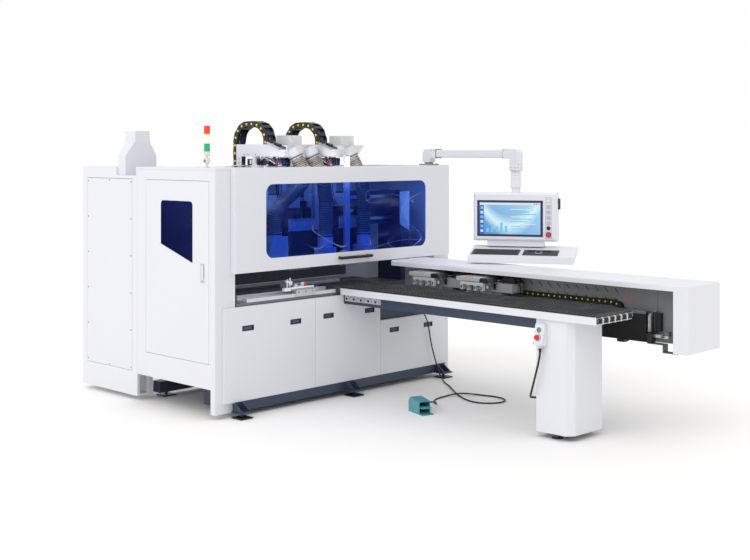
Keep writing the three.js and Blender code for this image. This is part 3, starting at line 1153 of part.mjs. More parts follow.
// Foot pedal: a base plate with a hooded guard, and the treadle inside it.
const pedal = {
  x: 1394, y: -984, turn: -0.295, half: 54, back: 115, front: -60, plateFront: -115, plate: 8,
  height: 124, shoulder: 96, brow: 104, wall: 5,
  treadleBack: 92, treadleFront: -98, treadle: 7, treadleZ: 40, treadleRise: 12, pin: 5, pinY: 78,
  glandY: 75, glandZ: 62, gland: 9, glandEnd: 6.5, glandLength: 60,
};
groups.pedal = new THREE.Group();
groups.pedal.position.set(pedal.x, pedal.y, 0);
groups.pedal.rotation.z = pedal.turn;
machine.add(groups.pedal);
const hoodOutline = (inset, reach) => outline([
  [pedal.front - reach, pedal.plate + (inset ? fit : -fit)],
  [pedal.back - inset, pedal.plate + (inset ? fit : -fit)],
  [pedal.back - inset, pedal.shoulder - inset], [pedal.back - pedal.shoulder / 3, pedal.height - inset],
  [pedal.front - reach, pedal.brow - inset],
]);
place('pedal_body', join(
  cut(
    join(
      block([-pedal.half, pedal.half], [pedal.plateFront, pedal.back], [0, pedal.plate]),
      alongX(hoodOutline(0, 0), [-pedal.half, pedal.half]),
      rod([pedal.half - pedal.wall, pedal.glandY, pedal.glandZ],
        [pedal.half + pedal.glandLength, pedal.glandY,
        pedal.glandZ], pedal.gland, pedal.glandEnd, 10),
    ),
    alongX(hoodOutline(pedal.wall, overrun), [pedal.wall - pedal.half, pedal.half - pedal.wall]),
  ),
), teal, groups.pedal);
const treadleSpan = [2 * pedal.wall - pedal.half, pedal.half - 2 * pedal.wall];
place('pedal_treadle', join(
  alongX(outline([
    [pedal.treadleFront, pedal.treadleZ + pedal.treadleRise], [pedal.treadleBack, pedal.treadleZ],
    [pedal.treadleBack, pedal.treadleZ + pedal.treadle],
    [pedal.treadleFront, pedal.treadleZ + pedal.treadleRise + pedal.treadle],
  ]), treadleSpan),
  rod([pedal.wall + fit - pedal.half, pedal.pinY, pedal.treadleZ], [pedal.half - pedal.wall - fit, pedal.pinY,
    pedal.treadleZ], pedal.pin, pedal.pin, 10),
), teal, groups.pedal);

// Pedal cord: out of the gland above the right service panel, down its face, and in one loop over
// the floor to the pedal.
groups.pedal.updateMatrix();
const cordEnd = new THREE.Vector3(pedal.half + pedal.glandLength + fit, pedal.glandY, pedal.glandZ)
  .applyMatrix4(groups.pedal.matrix).toArray();
const leadHang = [
  [0, -cordGland.length - fit, cordGland.z], [0, -34, 665], [5, -52, 658], [19, -66, 636], [43, -68, 600],
  [75, -64, 548], [99, -58, 484], [134, -56, 338], [157, -78, 210], [161, -118, 98], [149, -166, 34],
  [131, -204, 12], [105, -240, 5],
];
place('pedal_cord', cord([
  ...leadHang.map(([x, y, z]) => [cordGland.x + x, y, z]), [2460, -330, 5], [2367, -461, 5], [2157, -730, 5],
  [2056, -893, 5], [2016, -995, 5], [2011, -1073, 5], [2036, -1140, 5], [2084, -1190, 5], [2138, -1218, 5],
  [2196, -1222, 5], [2254, -1196, 5], [2294, -1146, 5], [2310, -1085, 5], [2309, -1010, 5], [2286, -931, 6],
  [2249, -860, 12], [2196, -790, 18], [2120, -738, 18], [2019, -714, 9], [1901, -722, 5], [1800, -770, 5],
  [1728, -842, 6], [1670, -912, 24], [1610, -950, 50], [1565, -957.5, 61], cordEnd,
], 4.5, 54), black);

// The origin is the middle of the front left foot's underside.
machine.position.set(-foot.x[0], -foot.y, 0);
machine.updateMatrixWorld(true);

export default machine;
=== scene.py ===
import math

import bmesh
import bpy
from mathutils import Euler, Matrix, Vector


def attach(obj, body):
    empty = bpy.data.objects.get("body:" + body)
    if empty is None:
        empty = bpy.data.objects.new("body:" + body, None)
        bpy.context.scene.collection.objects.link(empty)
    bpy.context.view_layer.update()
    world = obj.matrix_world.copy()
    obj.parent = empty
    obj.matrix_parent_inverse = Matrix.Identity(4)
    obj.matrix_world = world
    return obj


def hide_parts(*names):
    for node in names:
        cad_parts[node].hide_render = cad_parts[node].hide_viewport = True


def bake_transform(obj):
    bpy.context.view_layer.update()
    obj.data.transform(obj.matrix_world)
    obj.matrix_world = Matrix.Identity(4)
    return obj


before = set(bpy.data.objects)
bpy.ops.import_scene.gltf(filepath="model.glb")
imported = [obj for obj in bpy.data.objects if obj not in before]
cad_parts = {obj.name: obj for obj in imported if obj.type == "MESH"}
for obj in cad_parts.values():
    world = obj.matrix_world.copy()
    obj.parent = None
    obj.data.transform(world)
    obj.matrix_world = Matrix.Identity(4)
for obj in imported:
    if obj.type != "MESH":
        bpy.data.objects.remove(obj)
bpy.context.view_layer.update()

# Studio. The machine stands on a plain pale floor under an even white sky, with one wide soft lamp
# high on the side door's side, so that its left side is a little lighter than its front. The
# camera stands off the near left corner of the enclosure, above head height, and looks level.
def at(x, y, z):
    """A point in millimetres from the enclosure's near left corner, as the part's own metres."""
    return Vector(((x - 215) / 1000, (y + 84) / 1000, z / 1000))


class Tone:
    """One number or colour in a finish. A sum written on it adds the nodes that work it out."""

    def __init__(self, tree, socket=None):
        self.tree, self.socket = tree, socket

    def node(self, kind, settings=(), inputs=(), output=0):
        made = self.tree.nodes.new(kind)
        for name, value in dict(settings).items():
            setattr(made, name, value)
        for name, value in dict(inputs).items():
            if isinstance(value, Tone):
                self.tree.links.new(value.socket, made.inputs[name])
            else:
                made.inputs[name].default_value = value
        return Tone(self.tree, made.outputs[output]) if made.outputs else None

    def math(self, operation, first, second=0.0):
        return self.node("ShaderNodeMath", {"operation": operation}, {0: first, 1: second})

    def __add__(self, other):
        return self.math("ADD", self, other)

    def __sub__(self, other):
        return self.math("SUBTRACT", self, other)

    def __rsub__(self, other):
        return self.math("SUBTRACT", other, self)

    def __mul__(self, other):
        return self.math("MULTIPLY", self, other)

    def __gt__(self, other):
        return self.math("GREATER_THAN", self, other)

    def __lt__(self, other):
        return self.math("LESS_THAN", self, other)

    __radd__, __rmul__ = __add__, __mul__

    def part(self, axis):
        """One coordinate of a place."""
        return self.node("ShaderNodeSeparateXYZ", (), {0: self}, "XYZ".index(axis))

    def between(self, low, high):
        """The number as a share of the way from low to high, kept from 0 to 1."""
        return self.node("ShaderNodeMapRange", {"clamp": True}, {0: self, 1: low, 2: high})

    def mix(self, first, second):
        """The first colour where this mask is 0, the second where it is 1."""
        return self.node("ShaderNodeMix", {"data_type": "RGBA"}, {0: self, 6: first, 7: second}, 2)

    def stretched(self, x, y, z):
        """A place with its coordinates stretched, so that a pattern on it runs along one of them."""
        return self.node("ShaderNodeVectorMath", {"operation": "MULTIPLY"}, {0: self, 1: (x, y, z)})

    def noise(self, scale, detail=2.0, rough=0.5):
        return self.node("ShaderNodeTexNoise", (),
                         {"Vector": self, "Scale": scale, "Detail": detail, "Roughness": rough})

    def raised(self, distance, strength=1.0):
        """A surface normal that follows this height."""
        return self.node("ShaderNodeBump", (), {"Height": self, "Distance": distance, "Strength": strength})

    def coat(self, **inputs):
        """A surface with these properties, whose names are the shader's with _ for a space."""
        return self.node("ShaderNodeBsdfPrincipled", (), {k.replace("_", " "): v for k, v in inputs.items()})

    def shown(self):
        """Ends a material with this surface."""
        self.node("ShaderNodeOutputMaterial", (), {"Surface": self})


def colour(code, gain=1.0):
    """A colour written as six hexadecimal digits, as the share of light that it sends back."""
    parts = [int(code[i:i + 2], 16) / 255 for i in (0, 2, 4)]
    return (*[gain * (c / 12.92 if c <= 0.04045 else ((c + 0.055) / 1.055) ** 2.4) for c in parts], 1)


def new_finish(name):
    """An empty material, and a tone that holds the place on the object."""
    material = bpy.data.materials.new(name)
    material.use_nodes = True
    material.node_tree.nodes.clear()
    return material, Tone(material.node_tree).node("ShaderNodeTexCoord", (), (), "Object")


camera = bpy.data.objects.new("camera", bpy.data.cameras.new("camera"))
bpy.context.collection.objects.link(camera)
bpy.context.scene.camera = camera
stands_at, looks_along = (-6.217, -7.633, 2.194), Vector((0.7131, 0.7011, 0))
camera.location = stands_at
camera.rotation_euler = looks_along.to_track_quat("-Z", "Y").to_euler()
camera.data.lens = 57.456
camera.data.sensor_width = 36
camera.data.shift_y = -0.1733
camera.data.clip_end = 500
bpy.context.scene.view_settings.view_transform = "Standard"

floor_finish, place = new_finish("studio_floor")
place.coat(Base_Color=place.noise(0.6).mix(colour("F7F5F3"), colour("FAF9F8")), Roughness=0.95).shown()
floor_mesh = bpy.data.meshes.new("floor")
reach = 150
floor_mesh.from_pydata([(x * reach, y * reach, 0) for x, y in ((-1, -1), (1, -1), (1, 1), (-1, 1))], [],
                       [(0, 1, 2, 3)])
floor_mesh.materials.append(floor_finish)
floor = bpy.data.objects.new("floor", floor_mesh)
bpy.context.collection.objects.link(floor)

studio = bpy.data.worlds.new("studio")
bpy.context.scene.world = studio
studio.use_nodes = True
studio.node_tree.nodes["Background"].inputs["Color"].default_value = (1, 1, 1, 1)
studio.node_tree.nodes["Background"].inputs["Strength"].default_value = 1.0
lamp = bpy.data.objects.new("lamp", bpy.data.lights.new("lamp", "SUN"))
lamp.data.energy, lamp.data.angle = 0.7, math.radians(50)
lamp.rotation_euler = Vector((0.75, 0.08, -0.72)).to_track_quat("-Z", "Y").to_euler()
bpy.context.collection.objects.link(lamp)

# Pedal cord. A black rubber sheathed cord, 13 mm thick. It leaves a gland above the right service
# panel, hangs down the panel's face and lies over the floor in one loose loop to the foot pedal.
# Its route is the one that its solid has, and a tapered sleeve holds it where it leaves the gland.
def drawn_through(points, each=10):
    """A smooth line through the points of a route."""
    ends = [2 * points[0] - points[1], *points, 2 * points[-1] - points[-2]]
    line = []
    for a, b, c, d in zip(ends, ends[1:], ends[2:], ends[3:]):
        before, here, after = [(q - p).length ** 0.5 for p, q in ((a, b), (b, c), (c, d))]
        leave = here * ((b - a) / before - (c - a) / (before + here) + (c - b) / here)
        reach = here * ((c - b) / here - (d - b) / (here + after) + (d - c) / after)
        for i in range(each):
            t = i / each
            line.append((2 * t**3 - 3 * t**2 + 1) * b + (t**3 - 2 * t**2 + t) * leave
                        + (3 * t**2 - 2 * t**3) * c + (t**3 - t**2) * reach)
    return [*line, points[-1]]


def lead(name, route, radius, finish, cad_node):
    """A cord along its route, in place of the CAD's own."""
    data = bpy.data.curves.new(name, "CURVE")
    data.dimensions = "3D"
    line = drawn_through([at(*p) for p in route])
    spline = data.splines.new("POLY")
    spline.points.add(len(line) - 1)
    for point, place in zip(spline.points, line):
        point.co = (*place, 1)
    data.bevel_depth = radius
    data.bevel_resolution = 4
    data.use_fill_caps = True
    data.materials.append(finish)
    piece = bpy.data.objects.new(name, data)
    bpy.context.collection.objects.link(piece)
    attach(piece, "frame")
    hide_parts(cad_node)
    return piece, sum((b - a).length for a, b in zip(line, line[1:]))


cable_rubber, place = new_finish("cable_rubber")
scuff = place.noise(60, 4).between(0.55, 0.8)
place.coat(Base_Color=scuff.mix(colour("0B0C0E"), colour("17181A")), Roughness=0.45 + 0.2 * scuff,
           Normal=place.noise(900).raised(0.0002, 0.4)).shown()

pedal_gland, on_floor = (2425, -20.3, 665), 7.2
pedal_route = [
    pedal_gland, (2425, -34, 665), (2430, -52, 658), (2444, -66, 636), (2468, -68, 600),
    (2500, -64, 548), (2524, -58, 484), (2559, -56, 338), (2582, -78, 210), (2586, -118, 98),
    (2574, -166, 34), (2556, -204, 12), (2530, -240, on_floor), (2460, -330, on_floor),
    (2367, -461, on_floor), (2157, -730, on_floor), (2056, -893, on_floor), (2016, -995, on_floor),
    (2011, -1073, on_floor), (2036, -1140, on_floor), (2084, -1190, on_floor), (2138, -1218, on_floor),
    (2196, -1222, on_floor), (2254, -1196, on_floor), (2294, -1146, on_floor), (2310, -1085, on_floor),
    (2309, -1010, on_floor), (2286, -931, 7.6), (2249, -860, 12), (2196, -790, 18), (2120, -738, 18),
    (2019, -714, 9), (1901, -722, on_floor), (1800, -770, on_floor), (1728, -842, 7.6),
    (1670, -912, 24), (1610, -950, 50), (1565, -957.5, 61), (1525.2, -945.5, 62),
]
pedal_thick, button_thick = 0.013, 0.016
pedal_lead, pedal_length = lead("pedal_lead", pedal_route, pedal_thick / 2, cable_rubber, "pedal_cord")
at(*pedal_gland)

# Push button cable. The same rubber, 16 mm thick. It leaves the gland under the button box, hangs
# beside the leg in one slack bow, and goes in through a hole in the leg's back.
button_gland = (1366, -2232, 684.7)
button_route = [
    button_gland, (1366, -2232, 655), (1362, -2230, 620), (1353, -2222, 560),
    (1347, -2206, 490), (1347, -2186, 420), (1354, -2164, 362), (1369, -2142, 322),
    (1390, -2125, 300), (1412, -2118, 292), (1430, -2127, 290), (1436, -2145, 290), (1437, -2170.7, 290),
]
button_lead, button_length = lead("button_lead", button_route, button_thick / 2, cable_rubber, "button_cable")
at(*button_gland)

# Enclosure. Folded and welded sheet steel in white powder coat: two side panels with the posts on
# their front edges, the back panel with the slot for boards, and the roof with its folded front.
def powder_coat(name, code, roughness, tint=0.012, peel=0.35):
    """Baked powder paint: an even colour with faint clouds and a fine orange peel."""
    finish, place = new_finish(name)
    cloud = place.noise(1.7, 3)
    place.coat(Base_Color=cloud.mix(colour(code, 1 - tint), colour(code, 1 + tint)),
               Roughness=roughness - 0.05 + 0.1 * place.noise(9, 3),
               Normal=place.noise(850, 1).raised(0.00012, peel)).shown()
    return finish


def solid_copy(node):
    """A copy of a CAD node's mesh as one closed skin with whole faces."""
    skin = bmesh.new()
    skin.from_mesh(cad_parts[node].data)
    bmesh.ops.remove_doubles(skin, verts=skin.verts, dist=2e-5)
    bmesh.ops.dissolve_limit(skin, angle_limit=math.radians(0.8), verts=skin.verts, edges=skin.edges)
    return skin


def piece_of(name, skin, finish, body, *nodes, slot=None, ease=0.0, segments=2, angle=34, sorted_by=None):
    """A skin as a piece of the machine, its edges eased, on one body and in place of CAD nodes."""
    mesh = bpy.data.meshes.new(name)
    if isinstance(skin, bmesh.types.BMesh):
        skin.to_mesh(mesh)
        skin.free()
    else:
        mesh = skin
        mesh.name = name
    for face in mesh.polygons:
        face.use_smooth = True
    mesh.set_sharp_from_angle(angle=math.radians(angle))
    for one in finish if isinstance(finish, list) else [finish] if finish else []:
        mesh.materials.append(one)
    if sorted_by:
        for face in mesh.polygons:
            face.material_index = int(sorted_by((face.center - at(0, 0, 0)) * 1000))
    piece = bpy.data.objects.new(name, mesh)
    bpy.context.collection.objects.link(piece)
    if ease:
        bevel = piece.modifiers.new("eased_edges", "BEVEL")
        bevel.width, bevel.segments, bevel.harden_normals = ease, segments, True
        bevel.limit_method, bevel.angle_limit = "ANGLE", math.radians(angle)
    if body:
        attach(piece, body)
    if nodes:
        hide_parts(*nodes)
    return piece


def sheathed(name, node, finish, body, **more):
    """A piece with the shape of a CAD solid, in its place."""
    return piece_of(name, solid_copy(node), finish, body, node, **more)


white_paint = powder_coat("white_paint", "DEDFE5", 0.4)
for node in ("side_panel_left", "side_panel_right", "rear_panel", "roof_panel"):
    sheathed(f"{node}_sheet", node, white_paint, "frame", slot="white_paint", ease=0.0015)

# Base frame. Welded steel box sections in dark blue grey paint: the bed with its three bays, the
# front tube with the foot brackets, the rear beam and the arms under the table. The feet are
# black oxide steel with hexagon nuts, on square plates.
navy_paint = powder_coat("navy_paint", "303C52", 0.42, tint=0.05)
black_paint = powder_coat("black_paint", "1A1B1E", 0.45, tint=0.06)
sheathed("welded_base", "base_frame", navy_paint, "frame", slot="navy_paint", ease=0.0015)
for i in (1, 2, 3):
    sheathed(f"levelling_foot_{i}", f"foot_front_{i}", black_paint, "frame", slot="black_paint", ease=0.001)


# Side door. A folded steel tray in the same white paint, with a tinted acrylic window behind it
# and a flush lever lock: a nickel plated frame, a lever that folds into it and a key barrel.
def slab(skin, x, y, z, material=0, turn=None):
    """A block between two corners, in millimetres."""
    corners = [Vector((a, b, c)) for a in x for b in y for c in z]
    if turn:
        middle = Vector((sum(x) / 2, sum(y) / 2, sum(z) / 2))
        corners = [middle + turn @ (corner - middle) for corner in corners]
    hull(skin, corners, material)


def hull(skin, corners, material=0):
    """The closed body stretched round some corners, in millimetres."""
    made = bmesh.ops.convex_hull(skin, input=[skin.verts.new(c) for c in corners], use_existing_faces=False)
    for element in made["geom"]:
        if isinstance(element, bmesh.types.BMFace):
            element.material_index = material
    loose = [v for v in made["geom_interior"] if isinstance(v, bmesh.types.BMVert)]
    bmesh.ops.delete(skin, geom=loose, context="VERTS")


def rim_bars(across, up, side, end=None):
    """The four bars of a rectangular rim: two sides, then the bottom and the top."""
    end = end or side
    (a, b), (low, high) = across, up
    return [((a, a + side), up), ((b - side, b), up), (across, (low, low + end)), (across, (high - end, high))]


def rod(skin, start, end, radius, end_radius=None, sides=20, material=0):
    """A round bar or cone between two points, in millimetres."""
    start, end = Vector(start), Vector(end)
    turn = (end - start).to_track_quat("Z", "Y")
    angles = [2 * math.pi * k / sides for k in range(sides)]
    rings = []
    for middle, r in ((start, radius), (end, radius if end_radius is None else end_radius)):
        rings.append([skin.verts.new(middle + turn @ Vector((r * math.cos(a), r * math.sin(a), 0)))
                      for a in angles])
    faces = [skin.faces.new((rings[0][k], rings[0][k - 1], rings[1][k - 1], rings[1][k])) for k in range(sides)]
    faces += [skin.faces.new(rings[0]), skin.faces.new(rings[1])]
    for face in faces:
        face.material_index = material


def turned(skin, profile, middle=(0, 0, 0), aim=(0, 0, 1), sides=32, material=0):
    """A body turned on a lathe: radius and height pairs about an axis, in millimetres. A profile
    that ends where it starts makes a ring."""
    turn = Vector(aim).to_track_quat("Z", "Y")
    rings = []
    for radius, height in profile:
        around = range(sides) if radius > 0 else range(1)
        rings.append([skin.verts.new(Vector(middle) + turn @ Vector((
            radius * math.cos(2 * math.pi * k / sides), radius * math.sin(2 * math.pi * k / sides), height)))
            for k in around])
    ring_shaped = profile[0] == profile[-1]
    if ring_shaped:
        rings[-1] = rings[0]
    for low, high in zip(rings, rings[1:]):
        for k in range(sides):
            ring = [low[k % len(low)], low[(k + 1) % len(low)], high[(k + 1) % len(high)], high[k % len(high)]]
            ring = list(dict.fromkeys(ring))
            if len(ring) > 2:
                skin.faces.new(ring).material_index = material
    for ring, way in ((rings[0], -1), (rings[-1], 1)):
        if len(ring) > 1 and not ring_shaped:
            skin.faces.new(ring[::way]).material_index = material


def machine_skin(skin, where=Matrix.Identity(4)):
    """A skin drawn in millimetres, brought to the part's metres with its faces turned out."""
    bmesh.ops.transform(skin, matrix=Matrix.Translation(at(0, 0, 0)) @ Matrix.Scale(0.001, 4) @ where,
                        verts=skin.verts)
    bmesh.ops.recalc_face_normals(skin, faces=skin.faces)
    return skin


def drawn(name, skin, finish, body, *nodes, where=Matrix.Identity(4), **more):
    """A piece from a skin drawn in millimetres."""
    return piece_of(name, machine_skin(skin, where), finish, body, *nodes, **more)


def window_film(name, tint, shade, painted_glint):
    """Deep blue acrylic under its thin film, with faint ripples; its pale threads and soft smears are painted
    highlights.
    """
    finish, place = new_finish(name)
    drift = place.stretched(0.55, 0.55, 1.3)
    threads = []
    # Thin pale lines and broad soft smears painted into the pane's colour and cover: painted highlights.
    for scale, level, width in ((1.9, 0.5, 0.0035), (1.3, 0.56, 0.0028), (2.6, 0.44, 0.004)):
        ridge = drift.noise(scale, 0) - level
        threads.append(ridge.math("ABSOLUTE", ridge).between(width, 0.0))
    faded = place.noise(2.8, 0).between(0.42, 0.62)
    painted_streak = (threads[0] + 0.7 * threads[1] + 0.6 * threads[2]) * faded
    haze = place.noise(2.6, 3).between(0.5, 0.8)
    painted_sheen = place.stretched(0.7, 0.7, 2.4).noise(2.1, 2).between(0.57, 0.78) * painted_glint
    painted_streak = (painted_streak * painted_glint + 0.35 * painted_sheen).between(0.0, 1.0)
    pane = place.coat(Base_Color=painted_streak.mix(haze.mix(colour(shade, 0.6), colour(shade, 1.3)), colour("DDE2FF")),
                      Roughness=0.12, Specular_IOR_Level=0.3, Normal=place.noise(1.9, 2).raised(0.02, 0.25))
    clear = place.node("ShaderNodeBsdfTransparent", (), {"Color": colour(tint)})
    place.node("ShaderNodeMixShader", (), {0: 0.08 + 0.08 * haze + 0.5 * painted_streak, 1: clear, 2: pane}).shown()
    return finish


def machined(name, code, roughness, grain=(1, 60, 60), metallic=0.9):
    """Bare metal with the fine lines of its machining."""
    finish, place = new_finish(name)
    line = place.stretched(*grain).noise(9, 4, 0.6)
    place.coat(Base_Color=line.mix(colour(code, 0.86), colour(code, 1.08)), Metallic=metallic,
               Roughness=roughness - 0.08 + 0.2 * line, Normal=line.raised(0.0002, 0.2)).shown()
    return finish


blue_window = window_film("blue_window", "A4C4FA", "2438AC", 1.0)
# The side door's pane is a darker copy of the same acrylic with weaker painted highlights: painted shade.
door_pane = window_film("door_pane", "7C96DC", "141F66", 0.2)
bright_steel = machined("bright_steel", "C2C5C9", 0.3)
sheathed("side_door_tray", "side_door", white_paint, "side_door", slot="white_paint", ease=0.0012)
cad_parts["side_door_window"].material_slots[0].material = door_pane
lock_wide, lock_high, lock_rim, door_face = (139, 183), (1108, 1260), 4, -4.8
lock_middle, barrel_height = sum(lock_wide) / 2, 1122
skin = bmesh.new()
for y, z in rim_bars(lock_wide, lock_high, lock_rim):
    slab(skin, (-7, door_face), y, z)
hull(skin, [(x, lock_middle + s * 13, z) for z in (1140, 1252) for s in (-1, 1) for x in (-8.8, -5)]
     + [(-6, lock_middle + s * 11, 1135) for s in (-1, 1)])
rod(skin, (-5, lock_middle, barrel_height), (-8.6, lock_middle, barrel_height), 8, sides=24)
slab(skin, (-8.9, -8.3), (lock_middle - 6, lock_middle + 6), (barrel_height - 1, barrel_height + 1), 1)
drawn("door_lock", skin, [bright_steel, black_paint], "side_door", slot="machined_steel", ease=0.0006)

# Front cover. One folded tray across the whole front, hinged along its top edge, with a wide blue
# acrylic window set from behind and a black bar handle below it.
sheathed("front_cover_tray", "front_cover", white_paint, "front_cover", slot="white_paint", ease=0.002)
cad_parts["cover_window"].material_slots[0].material = blue_window


def moulded(name, code, roughness, grain=420):
    """Injection moulded plastic with a fine pebble grain."""
    finish, place = new_finish(name)
    pebble = place.noise(grain, 3, 0.6)
    dulled = roughness - 0.04 + 0.08 * place.noise(14, 2)
    place.coat(Base_Color=pebble.mix(colour(code, 0.93), colour(code, 1.07)), Roughness=dulled,
               Normal=pebble.raised(0.0002, 0.25)).shown()
    return finish


black_plastic = moulded("black_plastic", "17181B", 0.42)
skin = bmesh.new()
bar_height, bar_front, cover_face = 1240, -102.3, -60.3
corners = [(-1, -1), (-1, 1), (1, -1), (1, 1)]
rod(skin, (1311, bar_front, bar_height), (1710, bar_front, bar_height), 13, sides=24)
for x, way in ((1338, -1), (1683, 1)):
    hull(skin, [(x + s * 14, cover_face, bar_height + t * 13) for s, t in corners]
         + [(x + s * 9 + way * 4, -100, bar_height + t * 10) for s, t in corners])
drawn("cover_bar_handle", skin, black_plastic, "front_cover", "cover_handle", slot="black_plastic", ease=0.003,
      segments=3, angle=50)

# Service panels. Three folded trays hung on the front of the bed. Each has two flush pulls, a dark
# blue moulded cup with a finger flap. The middle one leaves a strip of the bed bare, where the
# air connections sit: small regulators with round black knobs.
for side in ("left", "middle", "right"):
    sheathed(f"service_tray_{side}", f"service_panel_{side}", white_paint, "frame", slot="white_paint",
             ease=0.001)


class Growth:
    """A Geometry Nodes tree whose group inputs are a piece's own sizes."""

    def __init__(self, name, **sizes):
        self.tree = bpy.data.node_groups.new(name, "GeometryNodeTree")
        face = self.tree.interface
        face.new_socket("Geometry", in_out="OUTPUT", socket_type="NodeSocketGeometry")
        for label, kind in {"Geometry": "Geometry", **sizes}.items():
            face.new_socket(label.replace("_", " "), in_out="INPUT", socket_type=f"NodeSocket{kind}")
        self.start = self.tree.nodes.new("NodeGroupInput")
        self.end = self.tree.nodes.new("NodeGroupOutput")

    def given(self, label):
        return Tone(self.tree, self.start.outputs[label])

    def ended(self, grown):
        """Ends the tree: instances made real and given their finish."""
        real = grown.node("GeometryNodeRealizeInstances", (), {"Geometry": grown})
        dressed = grown.node("GeometryNodeSetMaterial", (),
                             {"Geometry": real, "Material": self.given("Finish")})
        self.tree.links.new(dressed.socket, self.end.inputs["Geometry"])

    def mesh(self, source, **sizes):
        """The plain mesh that the tree grows from a source mesh with these sizes."""
        holder = bpy.data.objects.new("holder", source)
        bpy.context.collection.objects.link(holder)
        modifier = holder.modifiers.new("growth", "NODES")
        modifier.node_group = self.tree
        for item in self.tree.interface.items_tree:
            if item.in_out == "INPUT" and item.name.replace(" ", "_") in sizes:
                modifier[item.identifier] = sizes[item.name.replace(" ", "_")]
        bpy.context.view_layer.update()
        made = bpy.data.meshes.new_from_object(holder.evaluated_get(bpy.context.evaluated_depsgraph_get()))
        bpy.data.objects.remove(holder)
        return made


copies = Growth("copies_at_marks", Shape="Object", Size="Float", Finish="Material")
marks = copies.given("Geometry")
turn = marks.node("GeometryNodeInputNamedAttribute", {"data_type": "FLOAT_VECTOR"}, {"Name": "turn"})
shape = marks.node("GeometryNodeObjectInfo", (), {"Object": copies.given("Shape")}, 4)
shape_socket = next(s for s in shape.socket.node.outputs if s.type == "GEOMETRY")
copies.ended(marks.node("GeometryNodeInstanceOnPoints", (),
                        {"Points": marks, "Instance": Tone(copies.tree, shape_socket), "Rotation": turn,
                         "Scale": copies.given("Size")}))


def repeated(shape, places, finish, size=1.0):
    """One small shape, drawn in millimetres, at each place and turn, as one mesh in metres."""
    bmesh.ops.transform(shape, matrix=Matrix.Scale(0.001, 4), verts=shape.verts)
    bmesh.ops.recalc_face_normals(shape, faces=shape.faces)
    mesh = bpy.data.meshes.new("shape")
    shape.to_mesh(mesh)
    shape.free()
    holder = bpy.data.objects.new("shape", mesh)
    marks = bpy.data.meshes.new("marks")
    marks.from_pydata([at(*p) for p, _ in places], [], [])
    turns = marks.attributes.new("turn", "FLOAT_VECTOR", "POINT")
    for mark, (_, turn) in zip(turns.data, places):
        mark.vector = Euler([math.radians(a) for a in turn])
    made = copies.mesh(marks, Shape=holder, Size=size, Finish=finish)
    bpy.data.objects.remove(holder)
    return made


def spread(name, shape, places, finish, body, **more):
    """A piece made of one small shape at many places."""
    return piece_of(name, repeated(shape, places, finish), None, body, **more)


cup_navy = moulded("cup_navy", "222B45", 0.4)
flap_grey = moulded("flap_grey", "4A5570", 0.38)
pulls = [(325, 721), (852, 721), (1239, 733), (1753, 733), (2079, 522), (2549, 522)]
cup = bmesh.new()
cup_wide, cup_high, panel_face = (-62, 62), (-22, 22), -13.2
for x, z in rim_bars(cup_wide, cup_high, 5):
    slab(cup, x, (-24.6, panel_face), z)
slab(cup, cup_wide, (-15, -13.1), cup_high)
pull_places = [((x, 0, z), (0, 0, 0)) for x, z in pulls]
spread("pull_cups", cup, pull_places, cup_navy, "frame", ease=0.0006)
flap = bmesh.new()
hull(flap, [(x, y, z) for x in (-36, 40) for y, z in ((-22.5, -9), (-22.5, -4), (-15.5, 8), (-15.5, -9))])
spread("pull_flaps", flap, pull_places, flap_grey, "frame", ease=0.0006)

grey_plastic = moulded("grey_plastic", "B9BCC2", 0.45)
body = bmesh.new()
slab(body, (-24, 24), (-13, -0.5), (-25, 25))
slab(body, (-19, 19), (-17, -12.5), (-20, 12))
valves = [((x, 0, 861), (0, 0, 0)) for x in (1466, 1545, 1624, 1703, 1790)]
valves += [((1428.4, y, 878), (0, 0, -90)) for y in (-75, -165, -255, -345, -435)]
spread("air_regulators", body, valves, grey_plastic, "frame", ease=0.0012)
strip = bmesh.new()
slab(strip, (1428.6, 1431.8), (-478, -34), (848, 906))
drawn("regulator_strip", strip, grey_plastic, "frame", ease=0.0008)
knob = bmesh.new()
turned(knob, [(0, 0), (11, 0), (11, 3), (9.5, 3), (9.5, 8), (8, 9.5), (0, 9.5)], (0, -14, -6), (0, -1, 0), 24)
rod(knob, (12, -12.5, 20), (12, -15, 20), 3.5, sides=12)
spread("air_knobs", knob, valves, black_plastic, "frame")

# Access panels. Flat white sheets screwed to the back and the right side, the lower ones with
# pressed louvres that let the warm air out.
back_face, right_face, sheet, screw_inset, louvre_step = 1095.05, 2869.05, 1.35, 18, 22
skin = bmesh.new()
sheet_screws, vents = [], []
for side, spans, heights, first_vent, above, below in (
        ("back", ((300, 1380), (1420, 2500)), ((280, 850), (1260, 1970)), 250, 190, 180),
        ("right", ((150, 940),), ((300, 980), (1040, 1950)), 300, 230, 230)):
    for (a, b), (low, high) in [(span, height) for span in spans for height in heights]:
        if side == "back":
            slab(skin, (a, b), (back_face, back_face + sheet), (low, high))
        else:
            slab(skin, (right_face, right_face + sheet), (a, b), (low, high))
        holes = [(along, up) for along in (a + screw_inset, (a + b) / 2, b - screw_inset)
                 for up in (low + screw_inset, high - screw_inset)]
        louvres = [(a + first_vent + 80 * row, up) for row in (0, 1)
                   for up in range(low + above, high - below, louvre_step) if high < 1000]
        for places, marks in ((sheet_screws, holes), (vents, louvres)):
            places += [((along, back_face + 1.25, up), (0, 0, 180)) if side == "back"
                       else ((right_face + 1.25, along, up), (0, 0, 90)) for along, up in marks]
drawn("access_panels", skin, white_paint, "frame", ease=0.0006)
vent = bmesh.new()
hull(vent, [(x, 0.4, z) for x in (-30, 30) for z in (-5, 5)]
     + [(x, y, z) for x in (-26, 26) for y, z in ((-4, -4), (-1, 3))])
spread("access_louvres", vent, vents, white_paint, "frame", angle=25)

